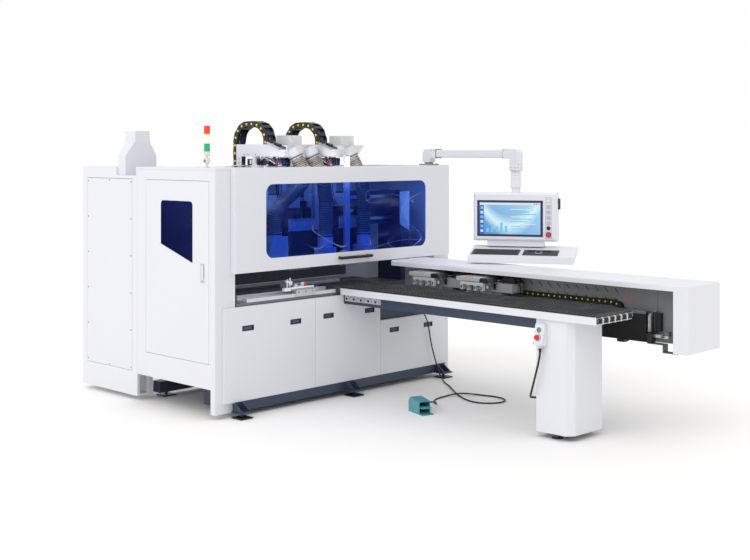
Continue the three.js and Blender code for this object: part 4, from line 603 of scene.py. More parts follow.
# Control cabinet. A white sheet steel cabinet behind the side door, with a flush cover held by
# button head screws down its sides, and a sheet metal exhaust duct let into its top.
sheathed("control_cabinet_shell", "control_cabinet", white_paint, "frame", slot="white_paint", ease=0.002)
sheathed("control_cabinet_lid", "control_cabinet_cover", white_paint, "frame", slot="white_paint", ease=0.001)
sheathed("exhaust_duct_sheet", "exhaust_duct", white_paint, "frame", slot="white_paint", ease=0.0015)


def screw(radius, height, socket):
    """A button head screw with a hexagon socket, pointing along -Y."""
    head = bmesh.new()
    turned(head, [(0, 0), (radius, 0), (radius, 0.35 * height), (0.8 * radius, 0.85 * height),
                  (0.62 * radius, height)], (0, 0, 0), (0, -1, 0), 12)
    top = max(head.faces, key=lambda face: -face.calc_center_median().y)
    for share, drop in ((socket / (0.62 * radius), 0), (0.96, 0.6 * height)):
        grown = bmesh.ops.inset_individual(head, faces=[top], thickness=0, depth=0)
        middle = top.calc_center_median()
        bmesh.ops.scale(head, vec=(share, 1, share), space=Matrix.Translation(-middle), verts=top.verts)
        bmesh.ops.translate(head, vec=(0, drop, 0), verts=top.verts)
    return head


lid_face, first_row, last_row = -0.3, 286, 1913
lid_rows = [first_row + i * (last_row - first_row) / 5 for i in range(6)]
lid_screws = [(lid_face, y, z) for y in (1193, 1878) for z in lid_rows]
lid_screws += [(lid_face, 1535, z) for z in (272, 1926)]
screw_steel = machined("screw_steel", "8E9196", 0.35, (60, 60, 60))
spread("access_screws", screw(5.5, 2.4, 2.6), sheet_screws, screw_steel, "frame")
spread("cabinet_screws", screw(6.5, 3.2, 3), [(p, (0, 0, -90)) for p in lid_screws], screw_steel, "frame")

# Signal tower on the roof. Three glowing lenses of ribbed acrylic under a pale cap, on a cream
# plastic base with a ball knuckle and a foot flange.
def lens_finish(name):
    finish, place = new_finish(name)
    height, (green_top, amber_rim, amber_top, red_top) = place.part("Z"), (2.249, 2.317, 2.327, 2.394)
    amber, red = height > green_top, height > amber_top
    lower = amber.mix(colour("12A06A"), (height > amber_rim).mix(colour("FBF7E4"), colour("F4D321")))
    lit = red.mix(lower, colour("E3342C"))
    core = (height > red_top).mix(lit, colour("E8E4DA"))
    wave = place.part("X") * 2200.0
    glow = wave.math("SINE", wave).between(-1.0, 1.0)
    place.coat(Base_Color=core, Roughness=0.22 + 0.1 * glow, Emission_Color=core, Emission_Strength=0.22,
               Normal=glow.raised(0.0004, 0.3)).shown()
    return finish


cream_plastic = moulded("cream_plastic", "DAD6C8", 0.4)
tower_foot, knuckle_height = (60, 184, 0), 2105
skin = bmesh.new()
turned(skin, [(0, 2182), (24, 2182), (25, 2184)] + [(r, z) for top in (2249, 2327)
       for r, z in ((25, top - 3), (23.4, top - 1), (23.4, top + 1), (25, top + 3))]
       + [(25, 2391), (23.4, 2393), (24.6, 2396), (24.6, 2402), (22, 2406), (0, 2407)], tower_foot, sides=48)
drawn("tower_lenses", skin, lens_finish("lens_acrylic"), "frame", "tower_light_lenses", slot="signal_lenses")
skin = bmesh.new()
turned(skin, [(0, 2047.3), (25, 2047.3), (25, 2051), (22, 2055), (11, 2056), (10, 2078), (15, 2079), (24, 2089),
              (26, 2105), (24, 2122), (15, 2132), (9, 2134), (9, 2140), (20, 2143), (25, 2150), (25, 2178),
              (23, 2181.7), (0, 2181.7)], tower_foot, sides=40)
drawn("tower_stem", skin, cream_plastic, "frame", "tower_light_stem", slot="white_paint")
skin = bmesh.new()
rod(skin, (31, 184, knuckle_height), (35.5, 184, knuckle_height), 12, sides=24)
turned(skin, [(0, 0), (7, 0), (7, 3), (5, 4.5), (0, 4.5)], (34.5, 184, knuckle_height), (-1, 0, 0), 6)
drawn("tower_knuckle_screw", skin, screw_steel, "frame", ease=0.0005)

# Work deck. A ground aluminium plate on the bed with two extruded guide rails, and on the front
# rail the side stop: a saddle with two ground rods, a stop post and an orange clamping knob.
aluminium = machined("aluminium_profile", "D9DCDF", 0.36, (2, 70, 70), 0.5)
ground_rail = machined("ground_rail", "F1F2F4", 0.3, (2, 70, 70), 0.25)
deck_grey = machined("deck_grey", "85888C", 0.4, (2, 70, 70), 0.6)
sheathed("work_deck_plate", "work_deck", [deck_grey, ground_rail], "frame", slot="aluminium_profile",
         ease=0.0012, sorted_by=lambda p: p.z > 925.8)
skin = bmesh.new()
slab(skin, (236, 2600), (704, 1056), (894, 899))
slab(skin, (1290, 2040), (664, 684), (925.6, 950), 1)
drawn("chip_tray", skin, [black_paint, ground_rail], "frame", ease=0.001)
orange_plastic = moulded("orange_plastic", "E8622A", 0.35)
blue_plastic = moulded("blue_plastic", "2F8FD8", 0.35)
sheathed("side_stop_saddle", "side_stop", [bright_steel, aluminium], "side_stop", slot="machined_steel",
         ease=0.0008, sorted_by=lambda p: p.z < 985.5)
saddle_top = 985.2
skin = bmesh.new()
for y, rod_end in ((4, 744), (90, 800)):
    rod(skin, (rod_end, y, 991), (1127, y, 991), 5.5, sides=16)
    for x in (884, 1118):
        slab(skin, (x - 7, x + 7), (y - 10, y + 10), (saddle_top, 999))
drawn("side_stop_rods", skin, bright_steel, "side_stop", ease=0.0006)
knob_middle = (1010, 44, 0)
skin = bmesh.new()
turned(skin, [(0, 1000), (14.5, 1000), (15.5, 1003), (15.5, 1018), (17, 1022), (17, 1040), (14, 1045.6),
              (0, 1045.6)], knob_middle, sides=20)
turned(skin, [(17.3, 1024), (18.2, 1025), (18.2, 1038), (17.3, 1039)], knob_middle, sides=20)
drawn("side_stop_knob", skin, orange_plastic, "side_stop", ease=0.0006)
skin = bmesh.new()
hull(skin, [(x, y, 986) for x in (886, 926) for y in (24, 64)]
     + [(x, y, 1030) for x in (896, 918) for y in (30, 58)])
for x, y, z in (
        ((1040, 1092), (20, 70), (saddle_top, 1000)), ((930, 972), (14, 74), (saddle_top, 1016)),
        ((976, 992), (30, 58), (saddle_top, 1044)), ((818, 1082), (-4, 10), (1000, 1013)),
        ((742, 812), (-6, 30), (986, 1012)), ((780, 812), (14, 34), (1056, 1072)),
        ((826, 866), (34, 58), (1030, 1062)), ((1046, 1086), (28, 62), (999.8, 1008))):
    slab(skin, x, y, z)
for x, y, low, high, radius in ((796, 24, 1000, 1082, 6), (846, 46, 1010, 1090, 7)):
    rod(skin, (x, y, low), (x, y, high), radius, sides=14)
drawn("side_stop_scale", skin, moulded("ivory_plastic", "EDEEF0", 0.45), "side_stop", ease=0.001)
skin = bmesh.new()
for x in (920, 1000, 1080):
    turned(skin, [(0, 0), (6, 0), (6, 2.5), (4, 3.6), (0, 3.6)], (x, 11.8, 963), (0, -1, 0), 20)
drawn("side_stop_buttons", skin, blue_plastic, "side_stop")

# Portal. A dark blue welded box beam on two uprights. Two ground guide rails run along its front,
# and a strip of the left upright's front carries the cable duct.
def portal_finish(name):
    finish, place = new_finish(name)
    rail_back, rail_left, rail_right = 0.5135, 0.146, 2.294
    rail = (place.part("Y") < rail_back) * (place.part("X") > rail_left) * (place.part("X") < rail_right)
    line = place.stretched(2, 70, 70).noise(9, 4, 0.6)
    paint = line.mix(colour("2C374C"), colour("344058"))
    ground_steel = line.mix(colour("A4A7AB"), colour("C6C8CB"))
    place.coat(Base_Color=rail.mix(paint, ground_steel), Metallic=rail * 0.9,
               Roughness=0.45 - 0.15 * rail).shown()
    return finish


sheathed("portal_box_beam", "portal_beam", portal_finish("portal_paint"), "frame", slot="navy_paint",
         ease=0.0015)
skin = bmesh.new()
guard_outline = ((2492, 1470), (2624, 1400), (2624, 1792), (2492, 1792))
hull(skin, [(x, y, z) for y in (290, 299.6) for x, z in guard_outline])
drawn("portal_end_guard", skin, white_paint, "frame", ease=0.0015)

# Drilling heads. A white welded carriage slides on the portal and stands up through the roof. In
# front of it a slide carries the drilling unit: a dark anodised gearbox with three motors on top,
# two rows of eight spindles below, and white sheet dust hoods on one or two sides.
dark_anodised = moulded("dark_anodised", "2B2D33", 0.38)
spindle_steel = machined("spindle_steel", "9FA3A8", 0.25, (60, 60, 4))
cylinder_steel = machined("cylinder_steel", "DDE0E4", 0.3, (60, 60, 4), 0.3)
heads = {"left": 735, "right": 1345}
unit_top, nose_top, plate_left, plate_front, cover_front, cover_foot = 1480.5, 1279.8, 199.5, 331.5, 159.5, 1765
spindle_pitch, spindle_rows, cylinder_pitch = 32, (205, 285), 22
for side, x0 in heads.items():
    sheathed(f"carriage_{side}", f"head_carriage_{side}", white_paint, f"head_{side}", slot="white_paint",
             ease=0.0015)

    def unit_part(p, x0=x0):
        """White covers, aluminium back plate, black top, steel spindle noses and dark gear box."""
        x = p.x - x0
        if p.z > cover_foot or p.y < cover_front or (x < plate_left and p.y < plate_front - 1):
            return 0
        if p.y > plate_front or x < plate_left:
            return 3
        if p.z > unit_top:
            return 4
        return 2 if p.z < nose_top and 220 < x < 520 else 1

    sheathed(f"drill_unit_{side}", f"head_unit_{side}",
             [white_paint, dark_anodised, spindle_steel, aluminium, black_paint], f"unit_{side}",
             slot="machined_steel", ease=0.001, sorted_by=unit_part)
    chuck = bmesh.new()
    turned(chuck, [(0, 0), (12.5, 0), (12.5, -8), (11, -10), (11, -40), (12.5, -42), (12.5, -62), (8, -66),
                   (0, -66)], sides=14)
    places = [((x0 + 370 + (i - 3.5) * spindle_pitch, y, 1279), (0, 0, 0)) for y in spindle_rows
              for i in range(8)]
    spread(f"chucks_{side}", chuck, places, spindle_steel, f"unit_{side}")
    cylinder = bmesh.new()
    turned(cylinder, [(0, 0), (8.4, 0), (8.4, 78), (7, 80), (7, 96), (4, 97), (4, 112), (0, 112)], sides=12)
    places = [((x0 + 214 + i * cylinder_pitch, 171, 1480.4), (0, 0, 0)) for i in range(15)]
    spread(f"drill_cylinders_{side}", cylinder, places, cylinder_steel, f"unit_{side}")
    plate_screws = [((x0 - 9.2, y, z), (0, 0, -90)) for y, z in (
        (300, 2155), (362, 2155), (464, 2155), (515, 2155), (590, 2080), (590, 2120))]
    spread(f"bracket_screws_{side}", screw(6.5, 3, 3), plate_screws, screw_steel, f"head_{side}")

# Cable guard. A white folded strip that hangs from the right hopper in front of the unit and keeps
# its air lines clear of the spindles. It is the bright post in the middle of the window.
skin = bmesh.new()
for x, y in (((1566, 1624), (100, 103)), ((1566, 1569), (103, 128)), ((1621, 1624), (103, 128))):
    slab(skin, x, y, (1205, 2150))
slab(skin, (1572, 1618), (100, 199.7), (2140, 2146))
slab(skin, (1624, 1668), (101, 104), (1630, 1650))
drawn("cable_guard", skin, white_paint, "head_right", ease=0.0008)

# Work light and slot strips. Two white tube lamps light the work, one under the roof's front fold
# and one upright at the right. Soft grey strips hang in the slot of the back panel and keep the
# chips in.
tube_light, place = new_finish("tube_light")
place.coat(Base_Color=colour("F4F6FA"), Roughness=0.4,
           Emission_Color=place.noise(2, 1).mix(colour("E8EEFF"), colour("FFFFFF")),
           Emission_Strength=15.0).shown()
skin = bmesh.new()
lamp_radius, fold_lamp, side_lamp = 11, (60, 1985), (2790, 110)
rod(skin, (330, *fold_lamp), (1900, *fold_lamp), lamp_radius, sides=16)
for x in ((320, 332), (1898, 1910)):
    slab(skin, x, (44, 76), (1968, 2000), 1)
rod(skin, (*side_lamp, 1420), (*side_lamp, 1880), lamp_radius, sides=16)
for z in ((1408, 1420), (1880, 1892)):
    slab(skin, (2776, 2806), (96, 124), z, 1)
drawn("work_light", skin, [tube_light, white_paint], "frame")
strip_grey = moulded("strip_grey", "707276", 0.7)
strip = bmesh.new()
slab(strip, (-9.5, 9.5), (-0.6, 0.6), (-124, 124))
slot_left, strip_step, slot_depth, slot_height = 306, 12, 1061, 1052
strips = [((slot_left + strip_step * i, slot_depth - (i % 2) * 2.6, slot_height),
           (0.6 * math.sin(i * 2.3), 0, 2 * math.sin(i * 5.1))) for i in range(183)]
spread("slot_strips", strip, strips, strip_grey, "frame")

# Wiring of the heads. Each carriage has a black valve and connector block under its hopper, and a
# folded steel tray on the sloped end of its bracket carries plugs and short leads to the unit.
bright_tray = machined("bright_tray", "C9CBCE", 0.3, (8, 60, 60))
wire_orange = moulded("wire_orange", "C8502A", 0.4)
wire_blue = moulded("wire_blue", "2240A8", 0.45)
wire_white = moulded("wire_white", "E4E3DE", 0.45)


def tube_into(skin, line, radius, sides=10, material=0):
    """A round tube along a line of points, closed at both ends. Each point may have its own radius
    and its own material."""
    radii = radius if isinstance(radius, list) else [radius] * len(line)
    angles = [2 * math.pi * k / sides for k in range(sides)]
    aside, rings = None, []
    for i, middle in enumerate(line):
        along = (line[min(i + 1, len(line) - 1)] - line[max(i - 1, 0)]).normalized()
        aside = (along.orthogonal() if aside is None else aside - along * aside.dot(along)).normalized()
        across = along.cross(aside)
        rings.append([skin.verts.new(middle + radii[i] * (math.cos(a) * aside + math.sin(a) * across))
                      for a in angles])
    faces = [skin.faces.new((a[k - 1], a[k], b[k], b[k - 1])) for a, b in zip(rings, rings[1:])
             for k in range(sides)]
    faces += [skin.faces.new(rings[0]), skin.faces.new(rings[-1][::-1])]
    along_it = material if isinstance(material, list) else [material] * len(line)
    for i, face in enumerate(faces):
        face.material_index = along_it[min(i // sides, len(line) - 1)]
        face.smooth = True


plug_pitch = 32
for side, x0 in heads.items():
    skin = bmesh.new()
    slab(skin, (x0 + 122, x0 + 292), (246, 362), (2052, 2122))
    slab(skin, (x0 + 292, x0 + 362), (352, 371.4), (2062, 2112))
    for i in range(5):
        x = x0 + 142 + plug_pitch * i
        slab(skin, (x - 12, x + 12), (234, 246), (2062, 2110))
        slab(skin, (x - 6, x + 6), (228, 234), (2068, 2082), 1)
    slab(skin, (x0 + 12, x0 + 92), (330, 500), (2060, 2116))
    slab(skin, (x0 + 30, x0 + 70), (290, 330), (2070, 2100))
    for i in range(5):
        y = 351 + plug_pitch * i
        slab(skin, (x0 + 4, x0 + 12), (y - 11, y + 11), (2070, 2108), (0, 3, 2, 3, 0)[i])
    for i, kind in enumerate((3, 2, 1, 3)):
        points = [(x0 + 24 + 16 * i, 332, 2104), (x0 + 26 + 14 * i, 290, 2126), (x0 + 36 + 14 * i, 240, 2112),
                  (x0 + 60 + 12 * i, 190, 2080), (x0 + 100 + 10 * i, 180, 2062), (x0 + 150 + 10 * i, 232, 2066)]
        tube_into(skin, drawn_through([Vector(p) for p in points], 6), 4, 8, kind)
    drawn(f"valve_block_{side}", skin, [black_plastic, wire_blue, wire_orange, wire_white], f"head_{side}",
          ease=0.001)
    skin = bmesh.new()
    tilt = Matrix.Rotation(math.radians(17.5), 3, "X")
    tray_deep = (34, 204)
    slab(skin, (x0 - 22, x0 + 62), tray_deep, (2222, 2225), 0, tilt)
    for x in ((x0 - 22, x0 - 19), (x0 + 59, x0 + 62)):
        slab(skin, x, tray_deep, (2225, 2243), 0, tilt)
    slab(skin, (x0 - 8, x0 + 30), (60, 120), (2226, 2252), 1, tilt)
    slab(skin, (x0 - 8, x0 + 30), (128, 166), (2222, 2246), 0, tilt)
    drawn(f"plug_tray_{side}", skin, [bright_tray, black_plastic], f"head_{side}", ease=0.0008)
    skin = bmesh.new()
    for i, (kind, drop) in enumerate(((0, 0), (0, 14), (1, 26), (2, 8))):
        x = x0 + 8 + 20 * i
        points = [(x, 216, 2196), (x + 2, 190, 2180 - drop), (x + 10, 160, 2140 - drop), (x + 24, 142, 2080),
                  (x + 40, 150, 1990), (x + 70, 186, 1880), (x + 130, 226, 1760), (x + 200, 245, 1690)]
        path = drawn_through([Vector(p) for p in points], 6)
        tube_into(skin, path, 4.2 if kind else 5.2, 8, kind)
    drawn(f"unit_leads_{side}", skin, [cable_rubber, wire_orange, wire_blue], f"unit_{side}")

# Energy chains over the roof. Black nylon links, pinned to each other, that bend in an arch from
# the carriage to the moving unit. Each side plate has a yellow pin cap, and cables run inside.
chain_plastic = moulded("chain_plastic", "121315", 0.36)
yellow_caps = moulded("yellow_caps", "F2D32E", 0.4)


def pill(skin, reach, half, x):
    """A side plate with round ends, between two widths."""
    ends = [(s * (reach / 2) + s * half * 0.93 * math.cos(a), half * 0.97 * math.sin(a))
            for s in (-1, 1) for a in [math.radians(d) for d in range(-90, 91, 30)]]
    hull(skin, [(a, y, z) for a in x for y, z in ends])


def link(width, reach, height, plate, inward):
    """One chain link about its middle: it runs along Y and is wide along X."""
    skin = bmesh.new()
    half = width / 2 - inward
    for way in (-1, 1):
        pill(skin, reach, height / 2, (way * half, way * (half - plate)))
        slab(skin, (plate - half, half - plate), (-0.24 * reach, 0.24 * reach),
             sorted((way * (height / 2 - 1), way * (height / 2 - 8))))
    for x in (-half / 3, half / 3):
        slab(skin, (x - 1.5, x + 1.5), (-0.12 * reach, 0.12 * reach), (8 - height / 2, height / 2 - 8))
    return skin


def along_path(parts, count):
    """Middles and tilts of equal steps on a path of straight runs and quarter turns in (Y, Z)."""
    line = []
    for part in parts:
        if len(part) == 2:
            line += [Vector(part[0]).lerp(Vector(part[1]), i / 60) for i in range(61)]
        else:
            (y, z), r, a0, a1 = part
            line += [Vector((y + r * math.cos(math.radians(a0 + (a1 - a0) * i / 90)),
                             z + r * math.sin(math.radians(a0 + (a1 - a0) * i / 90)))) for i in range(91)]
    run = [0]
    for a, b in zip(line, line[1:]):
        run.append(run[-1] + (b - a).length)
    def point(s):
        k = next(i for i, r in enumerate(run) if r >= s - 1e-9)
        k = max(k, 1)
        return line[k - 1].lerp(line[k], (s - run[k - 1]) / max(run[k] - run[k - 1], 1e-9))
    stops = [point(min(run[-1] * i / count, run[-1])) for i in range(count + 1)]
    return [((a + b) / 2, math.degrees(math.atan2(b.y - a.y, b.x - a.x))) for a, b in zip(stops, stops[1:])], \
        run[-1] / count, [point(min(run[-1] * i / (4 * count), run[-1])) for i in range(4 * count + 1)]


blue_cable = moulded("blue_cable", "2240A8", 0.45)
carriage_end, unit_end, bend_height, bend = (241, 2226.5), (658, 2060), 2263, 160
for side, x0 in heads.items():
    arch, pitch, line = along_path([
        (carriage_end, (241, bend_height)), ((401, bend_height), bend, 180, 90), ((401, 2423), (498, 2423)),
        ((498, bend_height), bend, 90, 0), ((658, bend_height), unit_end)], 12)
    middle = x0 + 52
    arched = (at(0, *unit_end), at(0, *carriage_end))
    for parity in (0, 1):
        made = repeated(link(104, pitch, 53, 8, 3.2 * parity),
                        [((middle, p.x, p.y), (a, 0, 0)) for p, a in arch[parity::2]], chain_plastic)
        chain = piece_of(f"arch_links_{side}_{parity + 1}", made, None, None,
                         *([] if parity else [f"energy_chain_{side}"]), slot="chain_plastic")
        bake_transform(chain)
    cap = bmesh.new()
    for way in (-1, 1):
        turned(cap, [(0, -4), (10.5, -4), (10.5, 1.2), (9.4, 2.2), (0, 2.2)], (way * 52, 0, 0), (way, 0, 0), 16)
    caps = spread(f"arch_caps_{side}", cap, [((middle, p.x, p.y), (a, 0, 0)) for p, a in arch], yellow_caps,
                  None)
    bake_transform(caps)
    skin = bmesh.new()
    for x, r, kind in ((-34, 9, 0), (-12, 8, 0), (7, 6, 1), (26, 9, 0)):
        tube_into(skin, [Vector((middle + x, p.x, p.y)) for p in line[1:-1]], r, 10, kind)
    cables = drawn(f"arch_cables_{side}", skin, [cable_rubber, blue_cable], None)
    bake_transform(cables)

# Dust hoppers and hoses. White sheet hoppers on the carriages gather the dust through necks on
# their front. Grey beige spiral hoses of soft plastic on a wire helix lead up into them from the
# hoods, and worm drive bands hold them.
hose_plastic, place = new_finish("hose_plastic")
dust = place.noise(14, 4).between(0.35, 0.75)
place.coat(Base_Color=dust.mix(colour("8A8175"), colour("A89F92")), Roughness=0.5 + 0.2 * dust,
           Normal=place.noise(500, 2).raised(0.0003, 0.3)).shown()
# The grooves between the turns of the helix take a darker colour: painted shade.
hose_groove = moulded("hose_groove", "564F47", 0.7)
band_steel = machined("band_steel", "6E7074", 0.3, (60, 60, 60))


def hose_line(start, end, lean, cuff=126, step=2.7):
    """The middle line of a hose: straight cuffs at both ends and one bend between them."""
    start, end, lean = Vector(start), Vector(end), Vector(lean).normalized()
    top, low = start + cuff * lean, end + Vector((0, 0, cuff))
    pull = (top - low).length / 3
    a, b, c, d = top, top + pull * lean, low + Vector((0, 0, pull)), low
    bend = [(1 - t)**3 * a + 3 * (1 - t)**2 * t * b + 3 * (1 - t) * t * t * c + t**3 * d
            for t in [i / 200 for i in range(1, 200)]]
    line = [start.lerp(top, i / 30) for i in range(31)] + bend + [low.lerp(end, i / 30) for i in range(31)]
    run = [0]
    for p, q in zip(line, line[1:]):
        run.append(run[-1] + (q - p).length)
    even, k = [], 1
    steps = int(run[-1] / step)
    for i in range(steps + 1):
        s = run[-1] * i / steps
        while k < len(run) - 1 and run[k] < s:
            k += 1
        even.append(line[k - 1].lerp(line[k], min((s - run[k - 1]) / (run[k] - run[k - 1]), 1)))
    return even, run[-1]


lean = Vector((30, -33, -90)).normalized()
hoses = {
    "left_outer": ("left", (1052, 181, 2122), (831, 232, 1474.3)),
    "left": ("left", (1242, 181, 2122), (1303, 82, 1440.3)),
    "right": ("right", (1729, 181, 2122), (1780, 82, 1440.3)),
}
hose_radius, wire_swell, wire_pitch, smooth_end = 57, 7, 16.2, 30
for name, (side, mouth, collar) in hoses.items():
    line, length = hose_line(Vector(mouth) + 0.3 * lean, collar, lean)
    radii, shaded_turns = [], []
    for i in range(len(line)):
        s = length * i / (len(line) - 1)
        wave = abs(math.sin(math.pi * s / wire_pitch))
        ease_in = min(1, s / smooth_end, (length - s) / smooth_end)
        radii.append(hose_radius + wire_swell * wave ** 0.8 * ease_in)
        # Faces in the grooves take the darker colour, painted shade.
        shaded_turns.append(int(wave < 0.62 and ease_in > 0.9))
    skin = bmesh.new()
    tube_into(skin, line, radii, 28, shaded_turns)
    hose = drawn(f"spiral_hose_{name}", skin, [hose_plastic, hose_groove], None, f"dust_hose_{name}",
                 slot="hose_plastic", angle=80)
    at(*mouth)
    at(*collar)
    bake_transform(hose)
    upright = Vector((0, 0, 1))
    for body, middle, way, r in (
            (f"head_{side}", Vector(mouth) - 14 * lean, lean, 68.5),
            (f"unit_{side}", Vector(collar) - 12 * upright, upright, 66.8)):
        skin = bmesh.new()
        rim = [(r - 2.2, -7), (r, -6.2), (r, 6.2), (r - 2.2, 7)]
        turned(skin, [*rim, (r - 2.2, -7)], middle, way, 40)
        slab(skin, (middle.x - 9, middle.x + 9), (middle.y - r - 6, middle.y - r + 1),
             (middle.z - 6, middle.z + 6))
        drawn(f"hose_band_{name}_{body[:4]}", skin, band_steel, body)
# The white sheet hoppers take a greyer copy of the white paint: painted shade.
hopper_grey = powder_coat("hopper_grey", "CFD0D3", 0.45, tint=0.03)
for side in heads:
    sheathed(f"hopper_{side}", f"dust_hopper_{side}", hopper_grey, f"head_{side}", slot="white_paint",
             ease=0.001, angle=38)

# Feed table. A shallow tray of folded white sheet, on a leg, holds a bed of short black bristles
# that boards slide over without a scratch. At its far end white ribs stand between six short
# brush rollers. A thin black seal is clipped over the left edge.
left, right, near, far = 1376, 1868, -2730, -30
sheathed("table_sheet", "table_tray", white_paint, "frame", slot="white_paint", ease=0.0008)
brush_fibre, place = new_finish("brush_fibre")
tips = place.stretched(2600, 2600, 900).noise(1, 3, 0.7)
worn = place.noise(5, 3).between(0.35, 0.7)
place.coat(Base_Color=(0.75 * tips + 0.35 * worn).mix(colour("232426"), colour("5E5F61")), Roughness=0.85,
           Normal=tips.raised(0.0012, 0.8)).shown()
sheathed("brush_backing", "brush_bed", brush_fibre, "frame", slot="brush_fibre")
tuft = bmesh.new()
for (x, y), lean_x, lean_y in (((-2.2, -1.2), -0.9, 0.3), ((2.0, -1.6), 0.8, -0.7), ((0.2, 2.2), 0.2, 0.9)):
    rod(tuft, (x, y, -0.5), (x + lean_x, y + lean_y, 5.5), 1.5, 0.7, 4)
grid, brush_end, brush_top = 12.3, 248, 980
rows = [(x, y) for y in range(int(near / grid) + 1, int(brush_end / grid))
        for x in range(int((left + 12) / grid) + 1, int((right - 6) / grid) + 1)]
stray = 3.1
tufts = [((x * grid + stray * math.sin(x * 12.9 + y * 78.2), y * grid + stray * math.sin(x * 39.3 + y * 11.1),
           brush_top), (0, 0, 360 * math.sin(x * 4.1 + y * 7.7))) for x, y in rows]
spread("bristle_tips", tuft, [t for t in tufts if t[0][1] > near + 12], brush_fibre, "frame")
pin = bmesh.new()
turned(pin, [(0, 0), (1.8, 0), (1.8, 1.2), (1.2, 2), (0, 2)], sides=8)
pin_step, row_step, row_shift, pin_foot = 41.5, 60, 20, 983.8
pins = [((1400 + i * pin_step + row_shift * (j % 2), -2690 + j * row_step, pin_foot), (0, 0, 0))
        for j in range(48) for i in range(12)]
pins = [p for p in pins if p[0][0] < 1860]
pin_grey = moulded("pin_grey", "8C8B87", 0.5)
spread("bed_pins", pin, pins, pin_grey, "frame")
edge_seal = moulded("edge_seal", "1C1D20", 0.5)
skin = bmesh.new()
seal_left, seal_along = 1374, (-2722, far)
slab(skin, (seal_left, 1386.5), seal_along, (975.3, 979))
slab(skin, (seal_left, 1375.7), seal_along, (966, 975.3))
drawn("edge_strip", skin, edge_seal, "frame", ease=0.0006)
roller_fibre, place = new_finish("roller_fibre")
threads = place.stretched(900, 900, 900).noise(1, 2)
place.coat(Base_Color=threads.mix(colour("0E0F10"), colour("3C3D3F")), Roughness=0.9,
           Normal=threads.raised(0.003, 0.9)).shown()
rollers, ribs, rings = bmesh.new(), bmesh.new(), bmesh.new()
for bay in range(6):
    a = left + 8 + bay * 81 - (2 if bay else 0)
    b = left + (bay + 1) * 81
    turned(rollers, [(0, 0), (12, 0), (15, 2.5), (15, b - a - 4.5), (12, b - a - 2), (0, b - a - 2)],
           (a + 1, near + 8, 941), (1, 0, 0), 24)
    slab(rollers, (a + 2, b - 1), (near - 3, near + 6), (917, 929))
    for x in (a + 6, b - 10):
        turned(rings, [(15.2, 0), (16.6, 0), (16.6, 4), (15.2, 4), (15.2, 0)], (x, near + 8, 941), (1, 0, 0),
               24)
    rod(rings, (a - 1, near - 3, 959), (b + 1, near - 3, 959), 1.6, sides=12)
    if bay < 5:
        turns = [math.radians(15 * i) for i in range(7)]
        edge = [(near + 12, 909), (near + 12, 963), (near + 6, 963)]
        edge += [(near + 6 - 14 * math.sin(turn), 949 + 14 * math.cos(turn)) for turn in turns]
        edge.append((near - 8, 909))
        hull(ribs, [(x, y, z) for x in (b - 1, b + 7) for y, z in edge])
drawn("end_rollers", rollers, roller_fibre, "frame", angle=50)
drawn("roller_rings", rings, grey_plastic, "frame")
drawn("rib_ends", ribs, white_paint, "frame", ease=0.0008)

# Table leg. A folded white sheet column with one chamfered corner stands on a black bar with two
# levelling feet. The push button box on it leans back and has a green start and a red stop button.
sheathed("leg_column", "table_leg", white_paint, "frame", slot="white_paint", ease=0.0012)
sheathed("leg_levelling_feet", "table_leg_foot", black_paint, "frame", slot="black_paint", ease=0.0008)
nut = bmesh.new()
turned(nut, [(0, 0), (15, 0), (15, 11), (0, 11)], sides=6)
spread("leg_nuts", nut, [((x, -2316, 10.2), (0, 0, 0)) for x in (1474, 1740)], screw_steel, "frame")
sheathed("button_housing", "button_box", white_paint, "frame", slot="white_paint", ease=0.002)
box_y = -2232
face_low, face_high = Vector((1328, box_y, 715)), Vector((1366, box_y, 875))
up = (face_high - face_low).normalized()
out = Vector((-up.z, 0, up.x))
ring_grey = moulded("ring_grey", "9A9CA0", 0.35)
button_green = moulded("button_green", "1F9D63", 0.3)
button_red = moulded("button_red", "D2202B", 0.28)


def on_box(share, proud):
    return face_high.lerp(face_low, share) + out * proud


skin = bmesh.new()
turned(skin, [(15, 0.1), (21, 0.1), (21, 1.6), (19.5, 2.4), (15.6, 2.4), (15, 0.1)], on_box(0.3, 0), out, 32)
turned(skin, [(22, 0.1), (25, 0.1), (25, 0.8), (24, 1.4), (22, 1.4), (22, 0.1)], on_box(0.66, 0), out, 32)
drawn("button_collars", skin, ring_grey, "frame")
sheathed("start_cap", "start_button", button_green, "start_button", slot="green_plastic", ease=0.0015,
         segments=3)
sheathed("stop_cap", "stop_button", button_red, "stop_button", slot="red_plastic", ease=0.003, segments=3)
box_screws = [((1366 + dx - 0.2, box_y + s * 36, z), (0, 0, -90)) for s in (-1, 1)
              for dx, z in ((-2.4, 866), (-35, 726))]
spread("button_box_screws", screw(3.2, 2, 1.5), box_screws, screw_steel, "frame")

# Clamp beam. A welded box beam in dark paint beside the table carries two ground guide rails whose
# screws are capped, a tray for the energy chain, and at its end the stop and the belt's tensioner.
bracket_grey = powder_coat("bracket_grey", "606265", 0.45, tint=0.03)
beam_black = moulded("beam_black", "050506", 0.88)
rail_steel = machined("rail_steel", "A6A9AE", 0.22, (60, 2, 60))
rail_lines = (2070, 2110)
sheathed("clamp_box_beam", "clamp_beam", [beam_black, rail_steel], "frame", slot="black_paint", ease=0.001,
         sorted_by=lambda p: p.z > 925.4 and min(abs(p.x - x) for x in rail_lines) < 10.6)
plug = bmesh.new()
turned(plug, [(0, -1), (4.6, -1), (4.6, 0.12), (0, 0.12)], sides=16)
spread("rail_plugs", plug, [((x, y, 945.3), (0, 0, 0)) for x in rail_lines for y in range(-2695, 690, 60)],
       screw_steel, "frame")
skin = bmesh.new()
end_plate = ((2088, 786), (2128, 786), (2128, 925), (2110, 925), (2088, 908))
hull(skin, [(x, y, z) for y in (-2731, -2725.4) for x, z in end_plate])
slab(skin, (2052, 2086), (-2729, -2725.4), (786, 922), 1)
slab(skin, (2062, 2128), (-2772, -2725.4), (708, 782), 1)
